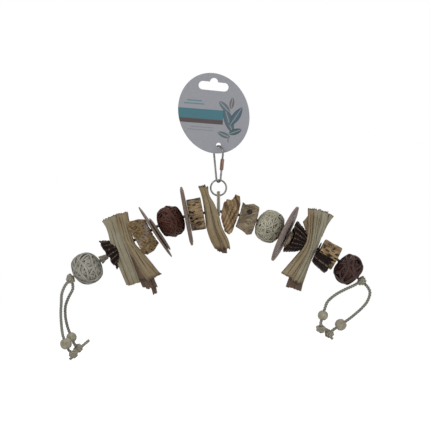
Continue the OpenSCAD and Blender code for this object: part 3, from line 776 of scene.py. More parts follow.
for side, route in cord_routes.items():
    path = smooth_path(route, 0.55)
    cord = piece_of(side + "_cord_twist", *rope(path, CORD_R))
    finish_piece(cord, cord_finish, side + "_cord", "garland")
    turn, tail = knot_tails[side]
    place = along(route, len(route) - 2, 1.0)
    knot_curve = smooth_path(knot_path(tail), 0.5)
    spin = Matrix.Rotation(math.radians(turn), 4, "Z")
    end = piece_of(side + "_tail_knot", *rope([place @ (spin @ p) for p in knot_curve], CORD_R))
    finish_piece(end, knot_finish, side + "_knot", "garland")
    bead = make_bead_piece(side + "_bead_turned", bead_sizes[side])
    seat = along(route, bead_after[side], 0.5)
    seat.translation *= MM
    bead.data.transform(seat)
    finish_piece(bead, bead_wood, side + "_bead")


# Growing pieces with geometry nodes

def grow_tree(name, sockets):
    """An empty geometry tree that takes a shape and the named sizes, and gives a shape."""
    tree = bpy.data.node_groups.new(name, "GeometryNodeTree")
    tree.interface.new_socket("Shape", in_out="INPUT", socket_type="NodeSocketGeometry")
    for label, kind in sockets:
        tree.interface.new_socket(label, in_out="INPUT", socket_type="NodeSocket" + kind)
    tree.interface.new_socket("Shape", in_out="OUTPUT", socket_type="NodeSocketGeometry")
    return tree, add(tree, "NodeGroupInput"), add(tree, "NodeGroupOutput")


def grown(obj, tree, sizes):
    """Runs a tree on a piece with its sizes, and keeps what it makes as a plain mesh."""
    modifier = obj.modifiers.new("growth", "NODES")
    modifier.node_group = tree
    for item in tree.interface.items_tree:
        if item.in_out == "INPUT" and item.name in sizes:
            modifier[item.identifier] = sizes[item.name]
    plain(obj)


def make_weave_tree():
    """Turns one hoop into a ball of hoops, flattened at its two ends and open along its core."""
    tree, start, end = grow_tree(
        "woven_ball",
        [("Hoops", "Int"), ("Seed", "Int"), ("Inner Share", "Float"), ("Ball Radius", "Float"),
         ("Half Length", "Float"), ("Core Clearance", "Float"), ("Finish", "Material")],
    )
    size = start.outputs

    def worked(operation, *values):
        return calculate(tree, operation, *values)

    points = add(tree, "GeometryNodePoints", {"Count": size["Hoops"]})
    turns = add(
        tree, "FunctionNodeRandomValue", {"Max": (TURN, TURN, TURN), "Seed": size["Seed"]},
        data_type="FLOAT_VECTOR",
    )
    turned = add(tree, "FunctionNodeEulerToRotation", {0: turns.outputs[0]})
    shares = add(
        tree, "FunctionNodeRandomValue", {2: size["Inner Share"], 3: 1.0, "Seed": size["Seed"]},
        data_type="FLOAT",
    )
    hoops = add(
        tree, "GeometryNodeInstanceOnPoints",
        {"Points": points.outputs[0], "Instance": size["Shape"], "Rotation": turned.outputs[0],
         "Scale": shares.outputs[1]},
    )
    real = add(tree, "GeometryNodeRealizeInstances", {0: hoops.outputs[0]})
    here = add(tree, "GeometryNodeInputPosition")
    split = add(tree, "ShaderNodeSeparateXYZ", {0: here.outputs[0]})
    x, y, z = split.outputs
    knee = worked("MULTIPLY", size["Half Length"], 0.7)
    far = worked("MAXIMUM", worked("SUBTRACT", worked("ABSOLUTE", x), knee), 0.0)
    squeeze = worked(
        "DIVIDE", worked("SUBTRACT", size["Half Length"], knee), worked("SUBTRACT", size["Ball Radius"], knee)
    )
    shift = worked("MULTIPLY", far, worked("SUBTRACT", 1.0, squeeze))
    flat_x = worked("SUBTRACT", x, worked("MULTIPLY", worked("SIGN", x), shift))
    away = worked("SQRT", worked("ADD", worked("MULTIPLY", y, y), worked("MULTIPLY", z, z)))
    open_up = worked(
        "DIVIDE", worked("MAXIMUM", away, size["Core Clearance"]), worked("MAXIMUM", away, 1e-6)
    )
    moved = add(
        tree, "ShaderNodeCombineXYZ",
        {0: flat_x, 1: worked("MULTIPLY", y, open_up), 2: worked("MULTIPLY", z, open_up)},
    )
    placed = add(tree, "GeometryNodeSetPosition", {"Geometry": real.outputs[0], "Position": moved.outputs[0]})
    done = add(tree, "GeometryNodeSetMaterial", {"Geometry": placed.outputs[0], "Material": size["Finish"]})
    tree.links.new(done.outputs[0], end.inputs["Shape"])
    return tree


weave_tree = make_weave_tree()


# Woven vine balls

def strip_hoop(name, radius, width, thickness, wander):
    """One flat vine strip bent into a wavy hoop."""
    steps, turns = 84, 3
    weave = 0.35 * thickness
    section = [
        (-0.5, -0.1), (-0.3, -0.5), (0.3, -0.5), (0.5, -0.1),
        (0.5, 0.25), (0.24, 0.5), (-0.24, 0.5), (-0.5, 0.25),
    ]
    path = []
    for k in range(steps):
        angle = TURN * k / steps
        spot = Vector((math.cos(angle), math.sin(angle), wander * math.sin(turns * angle) / radius))
        reach = radius - thickness / 2 - weave * (0.5 + 0.5 * math.sin((turns + 3) * angle))
        path.append(spot.normalized() * reach)
    rings, lay, marks = [], [], []
    for k, spot in enumerate(path):
        out = spot.normalized()
        way = (path[(k + 1) % steps] - path[k - 1]).normalized()
        side = out.cross(way).normalized()
        ring = []
        for x, y in section:
            ring.append(spot + side * (x * width) + out * (y * thickness))
            lay.append((x * width, k * TURN * radius / steps))
            # Mark: painted shade on the strip's inner side, towards the ball's middle, and along its edges
            marks.append(0.85 * max(0.0, 0.45 - y) + 0.35 * (abs(x) > 0.45))
        rings.append(ring)
    points, faces = skin(rings, loop=True)
    return piece_of(name, points, faces, lay, marks)


def woven_ball(node, diameter, length, hoops, width, thickness, seed, inner, wander, finish):
    """A ball of vine strips in place of a CAD ball."""
    ball = strip_hoop(node + "_weave", diameter / 2, width, thickness, wander)
    grown(ball, weave_tree, {
        "Hoops": hoops, "Seed": seed, "Inner Share": inner, "Ball Radius": diameter / 2 * MM,
        "Half Length": length / 2 * MM, "Core Clearance": 2.1 * MM, "Finish": finish,
    })
    thread_on(ball, finish, node)


# Diameter, length along the core, hoops, a strip's width and thickness, seed, the innermost hoop's
# share of the radius, and how far a hoop wanders
woven_ball("left_pale_ball", 34, 30.6, 52, 2.7, 1.0, 4, 0.78, 2.4, pale_vine)
woven_ball("right_pale_ball", 33.6, 28, 104, 1.7, 0.9, 11, 0.84, 2.6, cream_vine)
woven_ball("left_brown_ball", 33, 27.2, 98, 1.6, 1.1, 7, 0.8, 3.0, brown_vine)
woven_ball("right_brown_ball", 32.4, 26.8, 52, 2.5, 1.7, 21, 0.7, 3.0, dark_vine)


# Discs cut across a branch

# Half of the bore through a strung piece
BORE_R = 1.72


def wood_slice(node, diameter, thickness, off=0.0, ragged=0.5, split=None, turn=0.0, finish=slice_wood):
    """A branch disc with a worn bark rim, bored for the core.

    Off lowers the disc on its bore, and turn sets it askew, in degrees. Split is a notch's angle, half
    span and depth."""
    round_steps, shells = 120, 9
    rings, lay, marks = [], [], []

    def rim(angle):
        """How far the bark is from the disc's middle."""
        swing = noise.noise(Vector((math.cos(angle) * 1.6, math.sin(angle) * 1.6, diameter * 0.37)))
        fine = noise.noise(Vector((math.cos(angle) * 9, math.sin(angle) * 9, diameter * 0.11)))
        reach = diameter / 2 - ragged * (0.6 + swing + 0.5 * fine)
        if split and abs(math.remainder(angle - split[0], TURN)) < split[1]:
            reach -= split[2] * (1 - abs(math.remainder(angle - split[0], TURN)) / split[1])
        return reach

    for k in range(round_steps):
        angle = TURN * k / round_steps
        edge = rim(angle)
        ring = []
        for face in (-1, 1):
            steps = range(shells) if face < 0 else range(shells - 1, -1, -1)
            for s in steps:
                share = s / (shells - 1)
                y, z = edge * share * math.cos(angle), edge * share * math.sin(angle) - off
                if s == 0:
                    y, z = BORE_R * math.cos(angle), BORE_R * math.sin(angle)
                near = math.hypot(y, z)
                if near < BORE_R:
                    y, z = y * BORE_R / max(near, 1e-6), z * BORE_R / max(near, 1e-6)
                warp = 0.35 * noise.noise(Vector((y * 0.05, z * 0.05, diameter))) * (share ** 2)
                saw = 0.05 * noise.noise(Vector((y * 0.8, z * 0.8, face * 3.0)))
                half = thickness / 2 - 0.14
                half -= 0.22 * thickness * max(0.0, share - 0.94) / 0.06
                ring.append((face * (half + saw) + warp * 0.3, y, z))
                lay.append((y, z + off))
                marks.append(0.0 if share < 0.99 else 0.55)
            if face < 0:
                y, z = edge * 1.004 * math.cos(angle), edge * 1.004 * math.sin(angle) - off
                ring.append((0.0, y, z))
                lay.append((y, z + off))
                marks.append(1.0)
        rings.append(ring)
    points, faces = skin(rings, loop=True)
    askew = Matrix.Rotation(math.radians(turn), 3, "Z")
    disc = piece_of(node + "_disc", [askew @ Vector(p) for p in points], faces, lay, marks)
    thread_on(disc, finish, node)


wood_slice("outer_thin_slice", 60, 2.4, off=3.6, split=(-1.2, 0.07, 5))
wood_slice("inner_thin_slice", 38, 2.4, off=8, ragged=0.4)
wood_slice("left_slice", 60, 4)
wood_slice("right_slice", 60, 4, turn=-7.5, finish=pink_slice_wood)
wood_slice("spacer_disc", 18.4, 4.5, off=4, ragged=0.25, finish=spacer_wood)


# Dried seed cups

CUP_BORE_R = 1.75
# From a cup's foot to its middle
CUP_MIDDLE = 7.4


def ribbed_cup(node, notch, longer, mouth_r):
    """A dried seed cup, its mouth to the left, with ribs outside and a chipped rim.

    Notch is the angle, half span and depth of what is broken from the rim."""
    high = 24
    length, end_r, wall = 15.0 + longer, 6.0, 1.3

    def outer(share):
        """How wide the cup is, from its foot, 0, to its mouth, 1."""
        return end_r + (mouth_r - end_r) * share ** 0.62

    def rows_at(angle):
        """The outside up to the chipped rim, the inside back down, and the bore's mouth."""
        chip = 2.0 * max(0.0, noise.noise(Vector((math.cos(angle) * 3, math.sin(angle) * 3, mouth_r))) + 0.15)
        near = abs(math.remainder(angle - notch[0], TURN)) / notch[1]
        chip = max(chip, notch[2] * max(0.0, 1 - near ** 3))
        top = length - chip - 0.2
        rib = abs(math.cos(8 * angle + 0.8 * math.sin(2 * angle))) ** 7
        rows = []
        for s in range(high):
            share = s / (high - 1)
            x = top * share
            bead = 0.72 + 0.28 * math.sin(2.6 * x + 2 * math.sin(3 * angle))
            r = outer(x / length) + rib * bead * 1.2 * min(1, share * 3) - 1.2
            r += 0.5 * noise.noise(Vector((x * 0.35, math.cos(angle) * 3, math.sin(angle) * 3)))
            rows.append((x, r, r * angle, x, rib * bead if share < 0.97 else 0.9))
        for s in range(high - 1, -1, -1):
            share = s / (high - 1)
            x = max(top * share, 1.5)
            r = CUP_BORE_R if s == 0 else max(outer(x / length) - wall - 1.2, CUP_BORE_R)
            rows.append((x, r, r * angle, -x, 0.1))
        rows.append((0.0, CUP_BORE_R, 0.0, 0.0, 0.0))
        return rows

    points, faces, lay, marks = round_shell(160, rows_at)
    points = [(CUP_MIDDLE - x, y, z) for x, y, z in points]
    cup = piece_of(node + "_ribbed", points, faces, lay, marks)
    thread_on(cup, pod, node)


ribbed_cup("left_cup", notch=(-1.9, 0.5, 8.0), longer=0.0, mouth_r=18.2)
ribbed_cup("right_cup", notch=(math.pi + 0.12, 0.62, 4.2), longer=3.4, mouth_r=17.8)


# Husk bundles, leaf by leaf

def husk_leaf(stations, tone, seed, crease_shades=(), rag=1.5, brown=(0.0, 0.0), across=34):
    """One dried leaf from its upper to its lower end.

    Each station is left x and z, right x and z, y and bow, all in the object's frame.
    Tone picks its colour, crease_shades are its creases, raised and darkened with painted shade, as place
    across, width and where each starts, and brown says how much of each end is brown."""
    left = smooth_path([(s[0], s[4], s[1]) for s in stations], 1.0)
    right = smooth_path([(s[2], s[4], s[3]) for s in stations], 1.0)
    rows = max(len(left), len(right))

    def pick(path, share):
        """A point that share of the way along one of its edges."""
        spot = share * (len(path) - 1)
        k = min(int(spot), len(path) - 2)
        return path[k].lerp(path[k + 1], spot - k)

    draw = random.Random(seed)
    offset = tone * LEAF_TONE + draw.uniform(0, 300)
    rings, lay, marks = [], [], []
    for i in range(rows):
        share = i / (rows - 1)
        station = share * (len(stations) - 1)
        k = min(int(station), len(stations) - 2)
        bow = stations[k][5] + (stations[k + 1][5] - stations[k][5]) * (station - k)
        ring = []
        for j in range(across):
            t = j / (across - 1)
            fray = rag * noise.noise(Vector((t * 6 + seed * 3.1, seed * 1.7, 0)))
            fray += 0.6 * rag * noise.noise(Vector((t * 19, seed * 2.3, 4)))
            edge = share
            if share < 0.12:
                edge = share + (0.12 - share) / 0.12 * 0.02 * (fray + rag)
            elif share > 0.88:
                edge = share - (share - 0.88) / 0.12 * 0.02 * (fray + rag)
            a, b = pick(left, edge), pick(right, edge)
            wide = (b - a).length
            lift = -bow * (1 - (2 * t - 1) ** 2)
            lift += 0.7 * noise.noise(Vector((t * wide * 0.22, share * 3, seed))) * min(1.0, wide / 8)
            lift += 0.16 * noise.noise(Vector((t * wide * 1.1, share * 1.5, seed + 9.0)))
            mark = 0.0
            # Each crease is raised, and its mark darkens it with painted shade
            for place, width, start in crease_shades:
                wander = place + 0.12 * noise.noise(Vector((share * 2.2, place * 9, seed)))
                near = abs(t - wander) * wide / width
                fade = 0.7 + 0.9 * noise.noise(Vector((share * 3.1, place * 7, seed + 5.0)))
                deep = math.exp(-near * near) * min(1.0, max(0.0, (share - start) * 8))
                lift += 0.9 * deep
                mark = max(mark, deep * min(0.95, max(0.15, fade)))
            ring.append(a.lerp(b, t) + Vector((0, lift, 0)))
            lay.append((t * wide + offset, share * 60 + offset))
            top = (brown[0] - share) / max(brown[0], 1e-6)
            foot = (share - 1 + brown[1]) / max(brown[1], 1e-6)
            marks.append(min(1.0, max(mark, max(top, foot, 0) * 1.1)))
        rings.append(ring)
    points, faces = skin(rings, closed=False)
    return points, faces, lay, marks


def shreds(stations, count, seed):
    """Torn tongues of brown leaf side by side, each ending where chance puts it."""
    draw = random.Random(seed)
    torn = []
    for k in range(count):
        near, far = (k - draw.uniform(0, 0.3)) / count, (k + draw.uniform(0.9, 1.3)) / count
        longer, back = draw.uniform(-0.45, 0.25) * 4.0, draw.uniform(-0.7, 0.7)
        tongue = []
        for i, (xl, zl, xr, zr, y, bow) in enumerate(stations):
            share = i / (len(stations) - 1)
            left = (xl + (xr - xl) * near, zl + (zr - zl) * near)
            right = (xl + (xr - xl) * far, zl + (zr - zl) * far)
            drop = longer * share
            tongue.append((left[0], left[1] + drop, right[0], right[1] + drop, y + back * share, bow * 0.6))
        torn.append(husk_leaf(tongue, 2, seed + k, (), 1.6, (0.0, 0.75), 12))
    return torn


LEAF_THICKNESS = 0.45
# How near to the core's axis a leaf may come
LEAF_CLEARANCE = 3.2


def husk_bundle(node, leaves):
    """Leaves with a body, kept clear of the core."""
    back = place_of(node).inverted()
    points, faces, lay, marks = joined(leaves)
    moved = []
    for p in points:
        q = back @ (Vector(p) * MM) / MM
        reach = math.hypot(q.y, q.z)
        if reach < LEAF_CLEARANCE:
            q.y *= LEAF_CLEARANCE / max(reach, 1e-3)
            q.z *= LEAF_CLEARANCE / max(reach, 1e-3)
        moved.append(q)
    bundle = piece_of(node + "_leaves", moved, faces, lay, marks, outward=False)
    wall = bundle.modifiers.new("wall", "SOLIDIFY")
    wall.thickness = LEAF_THICKNESS * MM
    wall.offset = 0
    plain(bundle)
    thread_on(bundle, husk, node)


def behind(stations, depth=1.0, sway=0.0):
    """The same leaf on the back of the bundle."""
    return [(a + sway, b, c + sway, d, -y * depth, -bow) for a, b, c, d, y, bow in stations]


left_wide = [
    (-113.4, -137, -99, -131, -5.6, 0.8), (-108.2, -144.5, -96, -140.5, -6.0, 1.0),
    (-105.4, -152, -93.2, -149.5, -6.6, 1.2), (-103.6, -159.5, -90.2, -157.5, -7.2, 1.3),
    (-100.2, -172, -85.2, -169, -7.8, 1.4), (-93, -189, -79, -186, -8.2, 1.2),
    (-86, -205.5, -73.5, -201.5, -8, 0.8),
]
# A dark narrow leaf between the wide and upper leaves: painted shade in the fold between them
left_fold_shade = [
    (-104, -134, -96.5, -131.2, -4.4, 0.3), (-99.5, -147, -91.5, -145.5, -5.2, 0.3),
    (-94, -159, -86, -157.5, -6.0, 0.3), (-87, -174, -79.5, -172.5, -6.6, 0.3),
    (-77, -199, -67, -197.5, -6.4, 0.4),
]
left_upper = [
    (-101, -131.5, -86.5, -128.6, -3.4, 0.8), (-98, -141, -84.8, -139, -4.4, 1.0),
    (-94.5, -150, -82.8, -149.5, -5.4, 1.2), (-91, -158.5, -79.4, -161, -6.4, 1.5),
    (-87, -167, -74.8, -167.5, -6.8, 1.6), (-81, -176.5, -71, -175, -6.4, 1.2),
]
left_rolled = [
    (-90.5, -156.5, -80.6, -160, -6.9, 1.2), (-85, -167, -72.6, -168.2, -7.2, 2.2),
    (-78.5, -179, -62.8, -179.8, -7.2, 3.2), (-72, -191, -54.5, -190, -6.6, 4.2),
    (-65.5, -199.6, -51, -192, -6.0, 4.4),
]
left_shreds = [
    (-84, -178, -70, -176, -2.0, 0.6), (-77, -192, -63, -190, -2.2, 0.6),
    (-70.5, -206.5, -56, -206.5, -2.4, 0.4),
]
left_twig = [
    (-68, -184, -62, -183, 0.2, 0.6), (-65, -197, -59.5, -196, -0.2, 0.8),
    (-60.5, -213, -56.5, -210.5, -0.4, 0.6),
]
husk_bundle("left_husk", [
    husk_leaf(left_wide, 1, 3, ((0.26, 0.4, 0.1), (0.6, 0.3, 0.0), (0.93, 0.5, 0.0)), 1.2, (0.02, 0.0)),
    husk_leaf(left_fold_shade, 2, 4, ((0.45, 2.2, 0.0),), 1.2, (0.03, 0.1)),
    husk_leaf(left_upper, 0, 5, ((0.3, 0.5, 0.0), (0.56, 0.3, 0.0), (0.8, 0.35, 0.2)), 1.4, (0.03, 0.0)),
    husk_leaf(left_rolled, 0, 8, ((0.14, 0.45, 0.0), (0.42, 0.75, 0.05), (0.74, 0.4, 0.1)), 1.0, (0.0, 0.12)),
    *shreds(left_shreds, 4, 13),
    *shreds(left_twig, 2, 31),
    husk_leaf(behind(left_wide, 1.0, 1.0), 1, 23, ((0.4, 0.4, 0.1), (0.75, 0.3, 0.0)), 1.2, (0.05, 0.05)),
    husk_leaf(behind(left_fold_shade, 1.0), 2, 24, ((0.5, 2.0, 0.0),), 1.2, (0.05, 0.05)),
    husk_leaf(behind(left_upper, 1.1), 0, 25, ((0.3, 0.4, 0.0), (0.7, 0.4, 0.0)), 1.6, (0.05, 0.07)),
    husk_leaf(behind(left_rolled, 1.0, -1.0), 0, 28, ((0.5, 0.6, 0.0),), 1.0, (0.0, 0.1)),
])

right_first = [
    (94, -125, 101, -125.3, -5.2, 0.8), (94.2, -140, 100.3, -140, -5.6, 0.8),
    (93.6, -152, 99.2, -153, -6.2, 1.0),
    (90.3, -163.5, 97, -166, -6.8, 1.2), (80.5, -175.8, 90.5, -180, -7.2, 1.6),
    (66.4, -192, 78.8, -199.5, -7.2, 1.6),
]
right_second = [
    (99.4, -125.4, 108.4, -126.6, -6.0, 0.9), (98.9, -140, 105.6, -141, -6.4, 0.9),
    (97.6, -153, 103.2, -154, -7.0, 1.0), (94.4, -166, 100.2, -168, -7.6, 1.2),
    (87, -181, 94.8, -182.5, -8.0, 1.4), (76.8, -199, 86, -203, -8.0, 1.2),
]
right_third = [
    (106.4, -126.4, 114.2, -128.4, -4.8, 1.2), (104.2, -140, 112, -141.5, -5.2, 1.3),
    (101.6, -152, 107.8, -153.4, -5.8, 1.4), (98.4, -164, 103.4, -165, -6.4, 1.5),
    (92.4, -178, 96.6, -179, -6.8, 1.5), (83.6, -203, 87.8, -203.8, -6.6, 1.2),
]
right_short = [
    (88.6, -139.5, 96, -130.5, -2.4, 0.5), (91, -147, 97.4, -142, -3.0, 0.6),
    (94, -155, 98.6, -153, -3.6, 0.6),
]
right_tip = [
    (111, -128, 120.2, -133.8, -2.2, 0.6), (107, -141, 113.4, -143, -3.0, 0.8),
    (103, -155, 107.6, -155.4, -3.6, 0.8),
]
right_dark = [
    (79, -186, 92, -185, -3.0, 0.8), (74, -197, 89, -197, -3.2, 0.8), (71.5, -204, 86, -209, -3.4, 0.6),
]
husk_bundle("right_husk", [
    husk_leaf(right_first, 0, 33, ((0.35, 0.4, 0.0), (0.75, 0.5, 0.0)), 1.0, (0.03, 0.03)),
    husk_leaf(right_second, 1, 35, ((0.1, 0.5, 0.0), (0.55, 0.35, 0.0), (0.9, 0.4, 0.0)), 1.2, (0.02, 0.03)),
    husk_leaf(right_third, 1, 37, ((0.25, 0.4, 0.0), (0.62, 0.3, 0.1)), 1.2, (0.02, 0.02)),
    husk_leaf(right_short, 0, 39, ((0.5, 0.4, 0.0),), 1.2, (0.05, 0.0)),
    husk_leaf(right_tip, 1, 41, ((0.5, 0.4, 0.0),), 1.2, (0.05, 0.0)),
    *shreds(right_dark, 5, 43),
    husk_leaf(behind(right_first), 0, 53, ((0.5, 0.4, 0.0),), 1.0, (0.03, 0.05)),
    husk_leaf(behind(right_second), 1, 55, ((0.3, 0.4, 0.0), (0.7, 0.4, 0.0)), 1.2, (0.04, 0.06)),
    husk_leaf(behind(right_third), 0, 57, ((0.4, 0.4, 0.0),), 1.2, (0.04, 0.05)),
])

centre_left = [
    (-16.6, -102.8, -9.4, -101.2, -4.0, 0.6), (-13.0, -111.6, -5.6, -112, -4.6, 1.2),
    (-10.6, -122, -2.6, -122, -5.2, 1.5), (-9.0, -134, -0.2, -134, -6.0, 1.7),
    (-7.4, -146, 2.6, -146.5, -6.8, 1.7),
    (-3.2, -159, 8, -161, -7.4, 1.4), (2.2, -168.5, 9.4, -169.5, -7.2, 1.0),
]
centre_right = [
    (-11.2, -101.6, -5.8, -103.6, -5.0, 0.6), (-8.2, -112, -4.9, -112.6, -5.4, 0.9),
    (-5.2, -122, 0.6, -122.4, -5.8, 1.3), (-2.4, -134, 5.0, -134, -6.6, 1.6),
    (0.8, -146, 8.2, -145.6, -7.4, 1.6),
    (6, -158.5, 14.4, -158, -7.2, 1.4), (11.6, -168.5, 16.4, -168, -6.8, 0.8),
]
centre_dark = [
    (0, -155, 10, -154, -3.2, 0.8), (2.4, -163, 12, -163, -3.4, 0.8), (3.4, -170.5, 13.4, -170, -3.4, 0.6),
]
husk_bundle("centre_husk", [
    husk_leaf(centre_left, 0, 63, ((0.86, 1.1, 0.0),), 1.6, (0.05, 0.08)),
    husk_leaf(centre_right, 0, 65, ((0.12, 0.6, 0.05), (0.66, 0.35, 0.45)), 1.6, (0.03, 0.03)),
    *shreds(centre_dark, 4, 67),
    husk_leaf(behind(centre_left), 0, 73, ((0.5, 0.4, 0.0),), 1.2, (0.03, 0.08)),
    husk_leaf(behind(centre_right), 1, 75, ((0.5, 0.4, 0.0),), 1.4, (0.03, 0.06)),
])


# Bark, leaf chunk and block, roughened from their solids

# So near to the core's axis the chunks stay smooth
SMOOTH_BORE_R = 2.6


def rough_chunk(node, name, finish, own_marks, voxel, coarse, fine, stretch,
                longer=1.0, square=0.0, slant=0.0):
    """The CAD solid's copy with a natural surface and the piece's own marks.

    Voxel, coarse and fine size its mesh, lumps and grit, and stretch makes those denser each way.
    Longer stretches the piece along the string, square fills out its corners towards the middle,
    and slant cuts its foot back on that side."""
    back = place_of(node).inverted()
    mesh = frame["nodes"][node].data.copy()
    chunk = bpy.data.objects.new(name, mesh)
    bpy.context.scene.collection.objects.link(chunk)
    shell = bmesh.new()
    shell.from_mesh(mesh)
    bmesh.ops.remove_doubles(shell, verts=shell.verts, dist=1e-6)
    shell.to_mesh(mesh)
    shell.free()
    mesh.transform(back)
    mesh.transform(Matrix.Diagonal((longer, 1.0, 1.0, 1.0)))
    half_l = max(v.co.x for v in mesh.vertices)
    half_h = max(v.co.z for v in mesh.vertices)
    for vertex in mesh.vertices:
        x, z = vertex.co.x / half_l, vertex.co.z / half_h
        if x < 0:
            vertex.co.z *= 1 + square * x * x * min(1.0, abs(z) * 1.6)
        vertex.co.x -= slant * half_l * (1 - x) / 2 * min(0.0, z + 0.22)
    mesh.materials.clear()
    for attribute in list(mesh.attributes):
        if not attribute.is_required and not attribute.is_internal:
            mesh.attributes.remove(attribute)
    remesh = chunk.modifiers.new("remesh", "REMESH")
    remesh.mode = "VOXEL"
    remesh.voxel_size = voxel * MM
    soften = chunk.modifiers.new("soften", "SMOOTH")
    soften.factor = 0.6
    soften.iterations = 3
    plain(chunk)
    mesh = chunk.data
    store = mesh.attributes.new("mark", "FLOAT", "POINT")
    normals = [v.normal.copy() for v in mesh.vertices]
    for vertex, normal in zip(mesh.vertices, normals):
        spot = vertex.co / MM
        near = math.hypot(spot.y, spot.z)
        grain = Vector((spot.x * stretch[0], spot.y * stretch[1], spot.z * stretch[2]))
        lump = coarse * (noise.noise(grain * 0.16) - 0.25)
        grit = fine * (noise.fractal(grain * 0.55, 1.0, 2.0, 3) - 0.2)
        more, mark = own_marks(spot)
        shift = lump + grit + more
        if near < SMOOTH_BORE_R:
            shift = 0.0
        shift = min(shift, 0.1)
        vertex.co += normal * shift * MM
        # The mark also paints shade where the grit sinks the surface in
        store.data[vertex.index].value = min(1.0, max(0.0, mark + max(0.0, -grit - 0.3)))
    mesh.polygons.foreach_set("use_smooth", [True] * len(mesh.polygons))
    thread_on(chunk, finish, node)


def bark_marks(spot):
    """Cracks that run across the bark, sunk in and darkened with painted shade."""
    crack = abs(noise.noise(Vector((spot.x * 0.09, spot.y * 0.12, spot.z * 0.3))))
    deep = max(0.0, 0.06 - crack) / 0.06
    return -0.9 * deep, 0.8 * deep


def leaf_marks(spot):
    """Deep folds from the top to the foot, sunk in and darkened with painted shade."""
    bend = 0.014 * (spot.z - 4) ** 2
    sway = noise.noise(Vector((spot.x * 0.16, spot.y * 0.12, spot.z * 0.07)))
    fold = math.sin(1.35 * (spot.x + bend) + 0.5 * spot.y + 4.5 * sway)
    deep = max(0.0, -fold - 0.1)
    return -1.1 * deep, 0.7 * deep


def block_marks(spot):
    """Splits along the grain, sunk in and darkened with painted shade, and a dark patch in front painted as
    the shade of a knot hole.
    """
    split = abs(noise.noise(Vector((spot.x * 0.03, spot.y * 0.1 + 7, spot.z * 0.22))))
    deep = max(0.0, 0.045 - split) / 0.045
    hole = math.hypot(spot.x, spot.z - 6.0)
    dark = 1.0 if hole < 2.6 and spot.y < -6 else 0.0
    return -0.6 * deep, max(0.6 * deep, dark)


rough_chunk(
    "bark_chunk", "bark_chunk_rough", bark, bark_marks,
    voxel=0.55, coarse=0.8, fine=0.8, stretch=(1, 1, 1.9), square=0.2,
)
rough_chunk(
    "leaf_bundle", "leaf_bundle_folded", dry_leaf, leaf_marks,
    voxel=0.5, coarse=0.5, fine=0.5, stretch=(1.6, 1, 0.2), longer=1.04, slant=0.9,
)
rough_chunk(
    "wood_block", "wood_block_rough", block_wood, block_marks,
    voxel=0.55, coarse=0.8, fine=0.6, stretch=(0.5, 1.2, 1.8), longer=1.1,
)


# Cactus wood, with its scattered pits

def pitted_tube(node, name, radius, length, pits, seed, flat, shift):
    """A round of cactus wood on the core, streaked along its grain, with pits scattered over it and darkened
    with painted shade.

    Flat darkens its streaks and paints shade along its top and foot, and shift moves it along the string."""
    high = 66
    draw = random.Random(seed)
    spots = []
    for k in range(pits):
        angle = TURN * (k + draw.uniform(0, 0.7)) * 0.618
        at = draw.uniform(-0.42, 0.42) * length
        spots.append((at, angle, draw.uniform(1.5, 3.2), draw.uniform(0.7, 1.3), draw.uniform(-0.7, 0.7)))

    def pit_at(x, angle):
        """How deep a place lies in a pit, 0 to 1."""
        deepest = -9.0
        for at, middle, half_long, half_wide, lean in spots:
            across = math.remainder(angle - middle, TURN) * radius
            along = x - at
            if abs(across) > 5 or abs(along) > 6:
                continue
            u = (along + lean * across) / half_long
            v = (across - lean * along) / half_wide
            deepest = max(deepest, 1.0 - math.hypot(u, v))
        near = Vector((x * 0.9, math.cos(angle) * radius * 0.7, math.sin(angle) * radius * 0.7))
        return min(1.0, max(0.0, (deepest + 0.5 * noise.noise(near)) * 2.4))

    def rows_at(angle):
        """The pitted outside, and then one end, the bore and the other end."""
        around = Vector((0, math.cos(angle), math.sin(angle)))
        rows = []
        for s in range(high):
            share = s / (high - 1)
            x = (share - 0.5) * (length - 0.5)
            pit = pit_at(x, angle)
            edge = min(1.0, (0.5 - abs(share - 0.5)) * high / 2.0)
            streak = noise.noise(around * radius * 0.9 + Vector((x * 0.12, 7, 0)))
            r = radius - 0.45 - 0.5 * (1 - edge) ** 2 - 2.4 * pit * edge + 0.3 * streak
            r += 0.5 * noise.noise(around * radius * 0.17 + Vector((x * 0.1, 0, 3))) - 0.2
            # Dark streaks of the grain, and painted shade along the top and foot; the pits get painted shade
            # too
            dark = max(0.0, streak - 0.1) * 1.6 * flat + flat * max(0.0, abs(math.sin(angle)) - 0.86) * 4
            mark = min(1.0, max(pit * 0.95, min(0.85, dark)))
            rows.append((x + shift, r, angle * radius, x, mark))
        # The ends' marks paint shade at the bore's mouth
        for x, r, mark in ((0.5, 0.62, 0.15), (0.5, 0.3, 0.5), (-0.5, 0.3, 0.5), (-0.5, 0.62, 0.15)):
            r = BORE_R if r < 0.4 else r * radius
            jag = 0.25 * noise.noise(Vector((math.cos(angle) * 4, math.sin(angle) * 4, x * 9)))
            at = x * (length - 0.9) + jag
            rows.append((at + shift, r, angle * r, at, mark))
        return rows

    thread_on(piece_of(name, *round_shell(200, rows_at)), cactus_wood, node)


pitted_tube("cactus_tube", "cactus_tube_pitted", 13, 19.6, pits=104, seed=5, flat=0.25, shift=-0.8)
pitted_tube("cactus_log", "cactus_log_pitted", 16.5, 15, pits=70, seed=9, flat=2.0, shift=0.4)


# Broken cup under the tube

# Its base disc's outline: place along the core, and distance from it
BROKEN_DISC = (
    (-1.35, BORE_R), (-1.4, 6), (-1.35, 11), (-1.1, 12.6),
    (-0.4, 12.6), (-0.15, 11), (-0.1, 6), (-0.15, BORE_R),
)


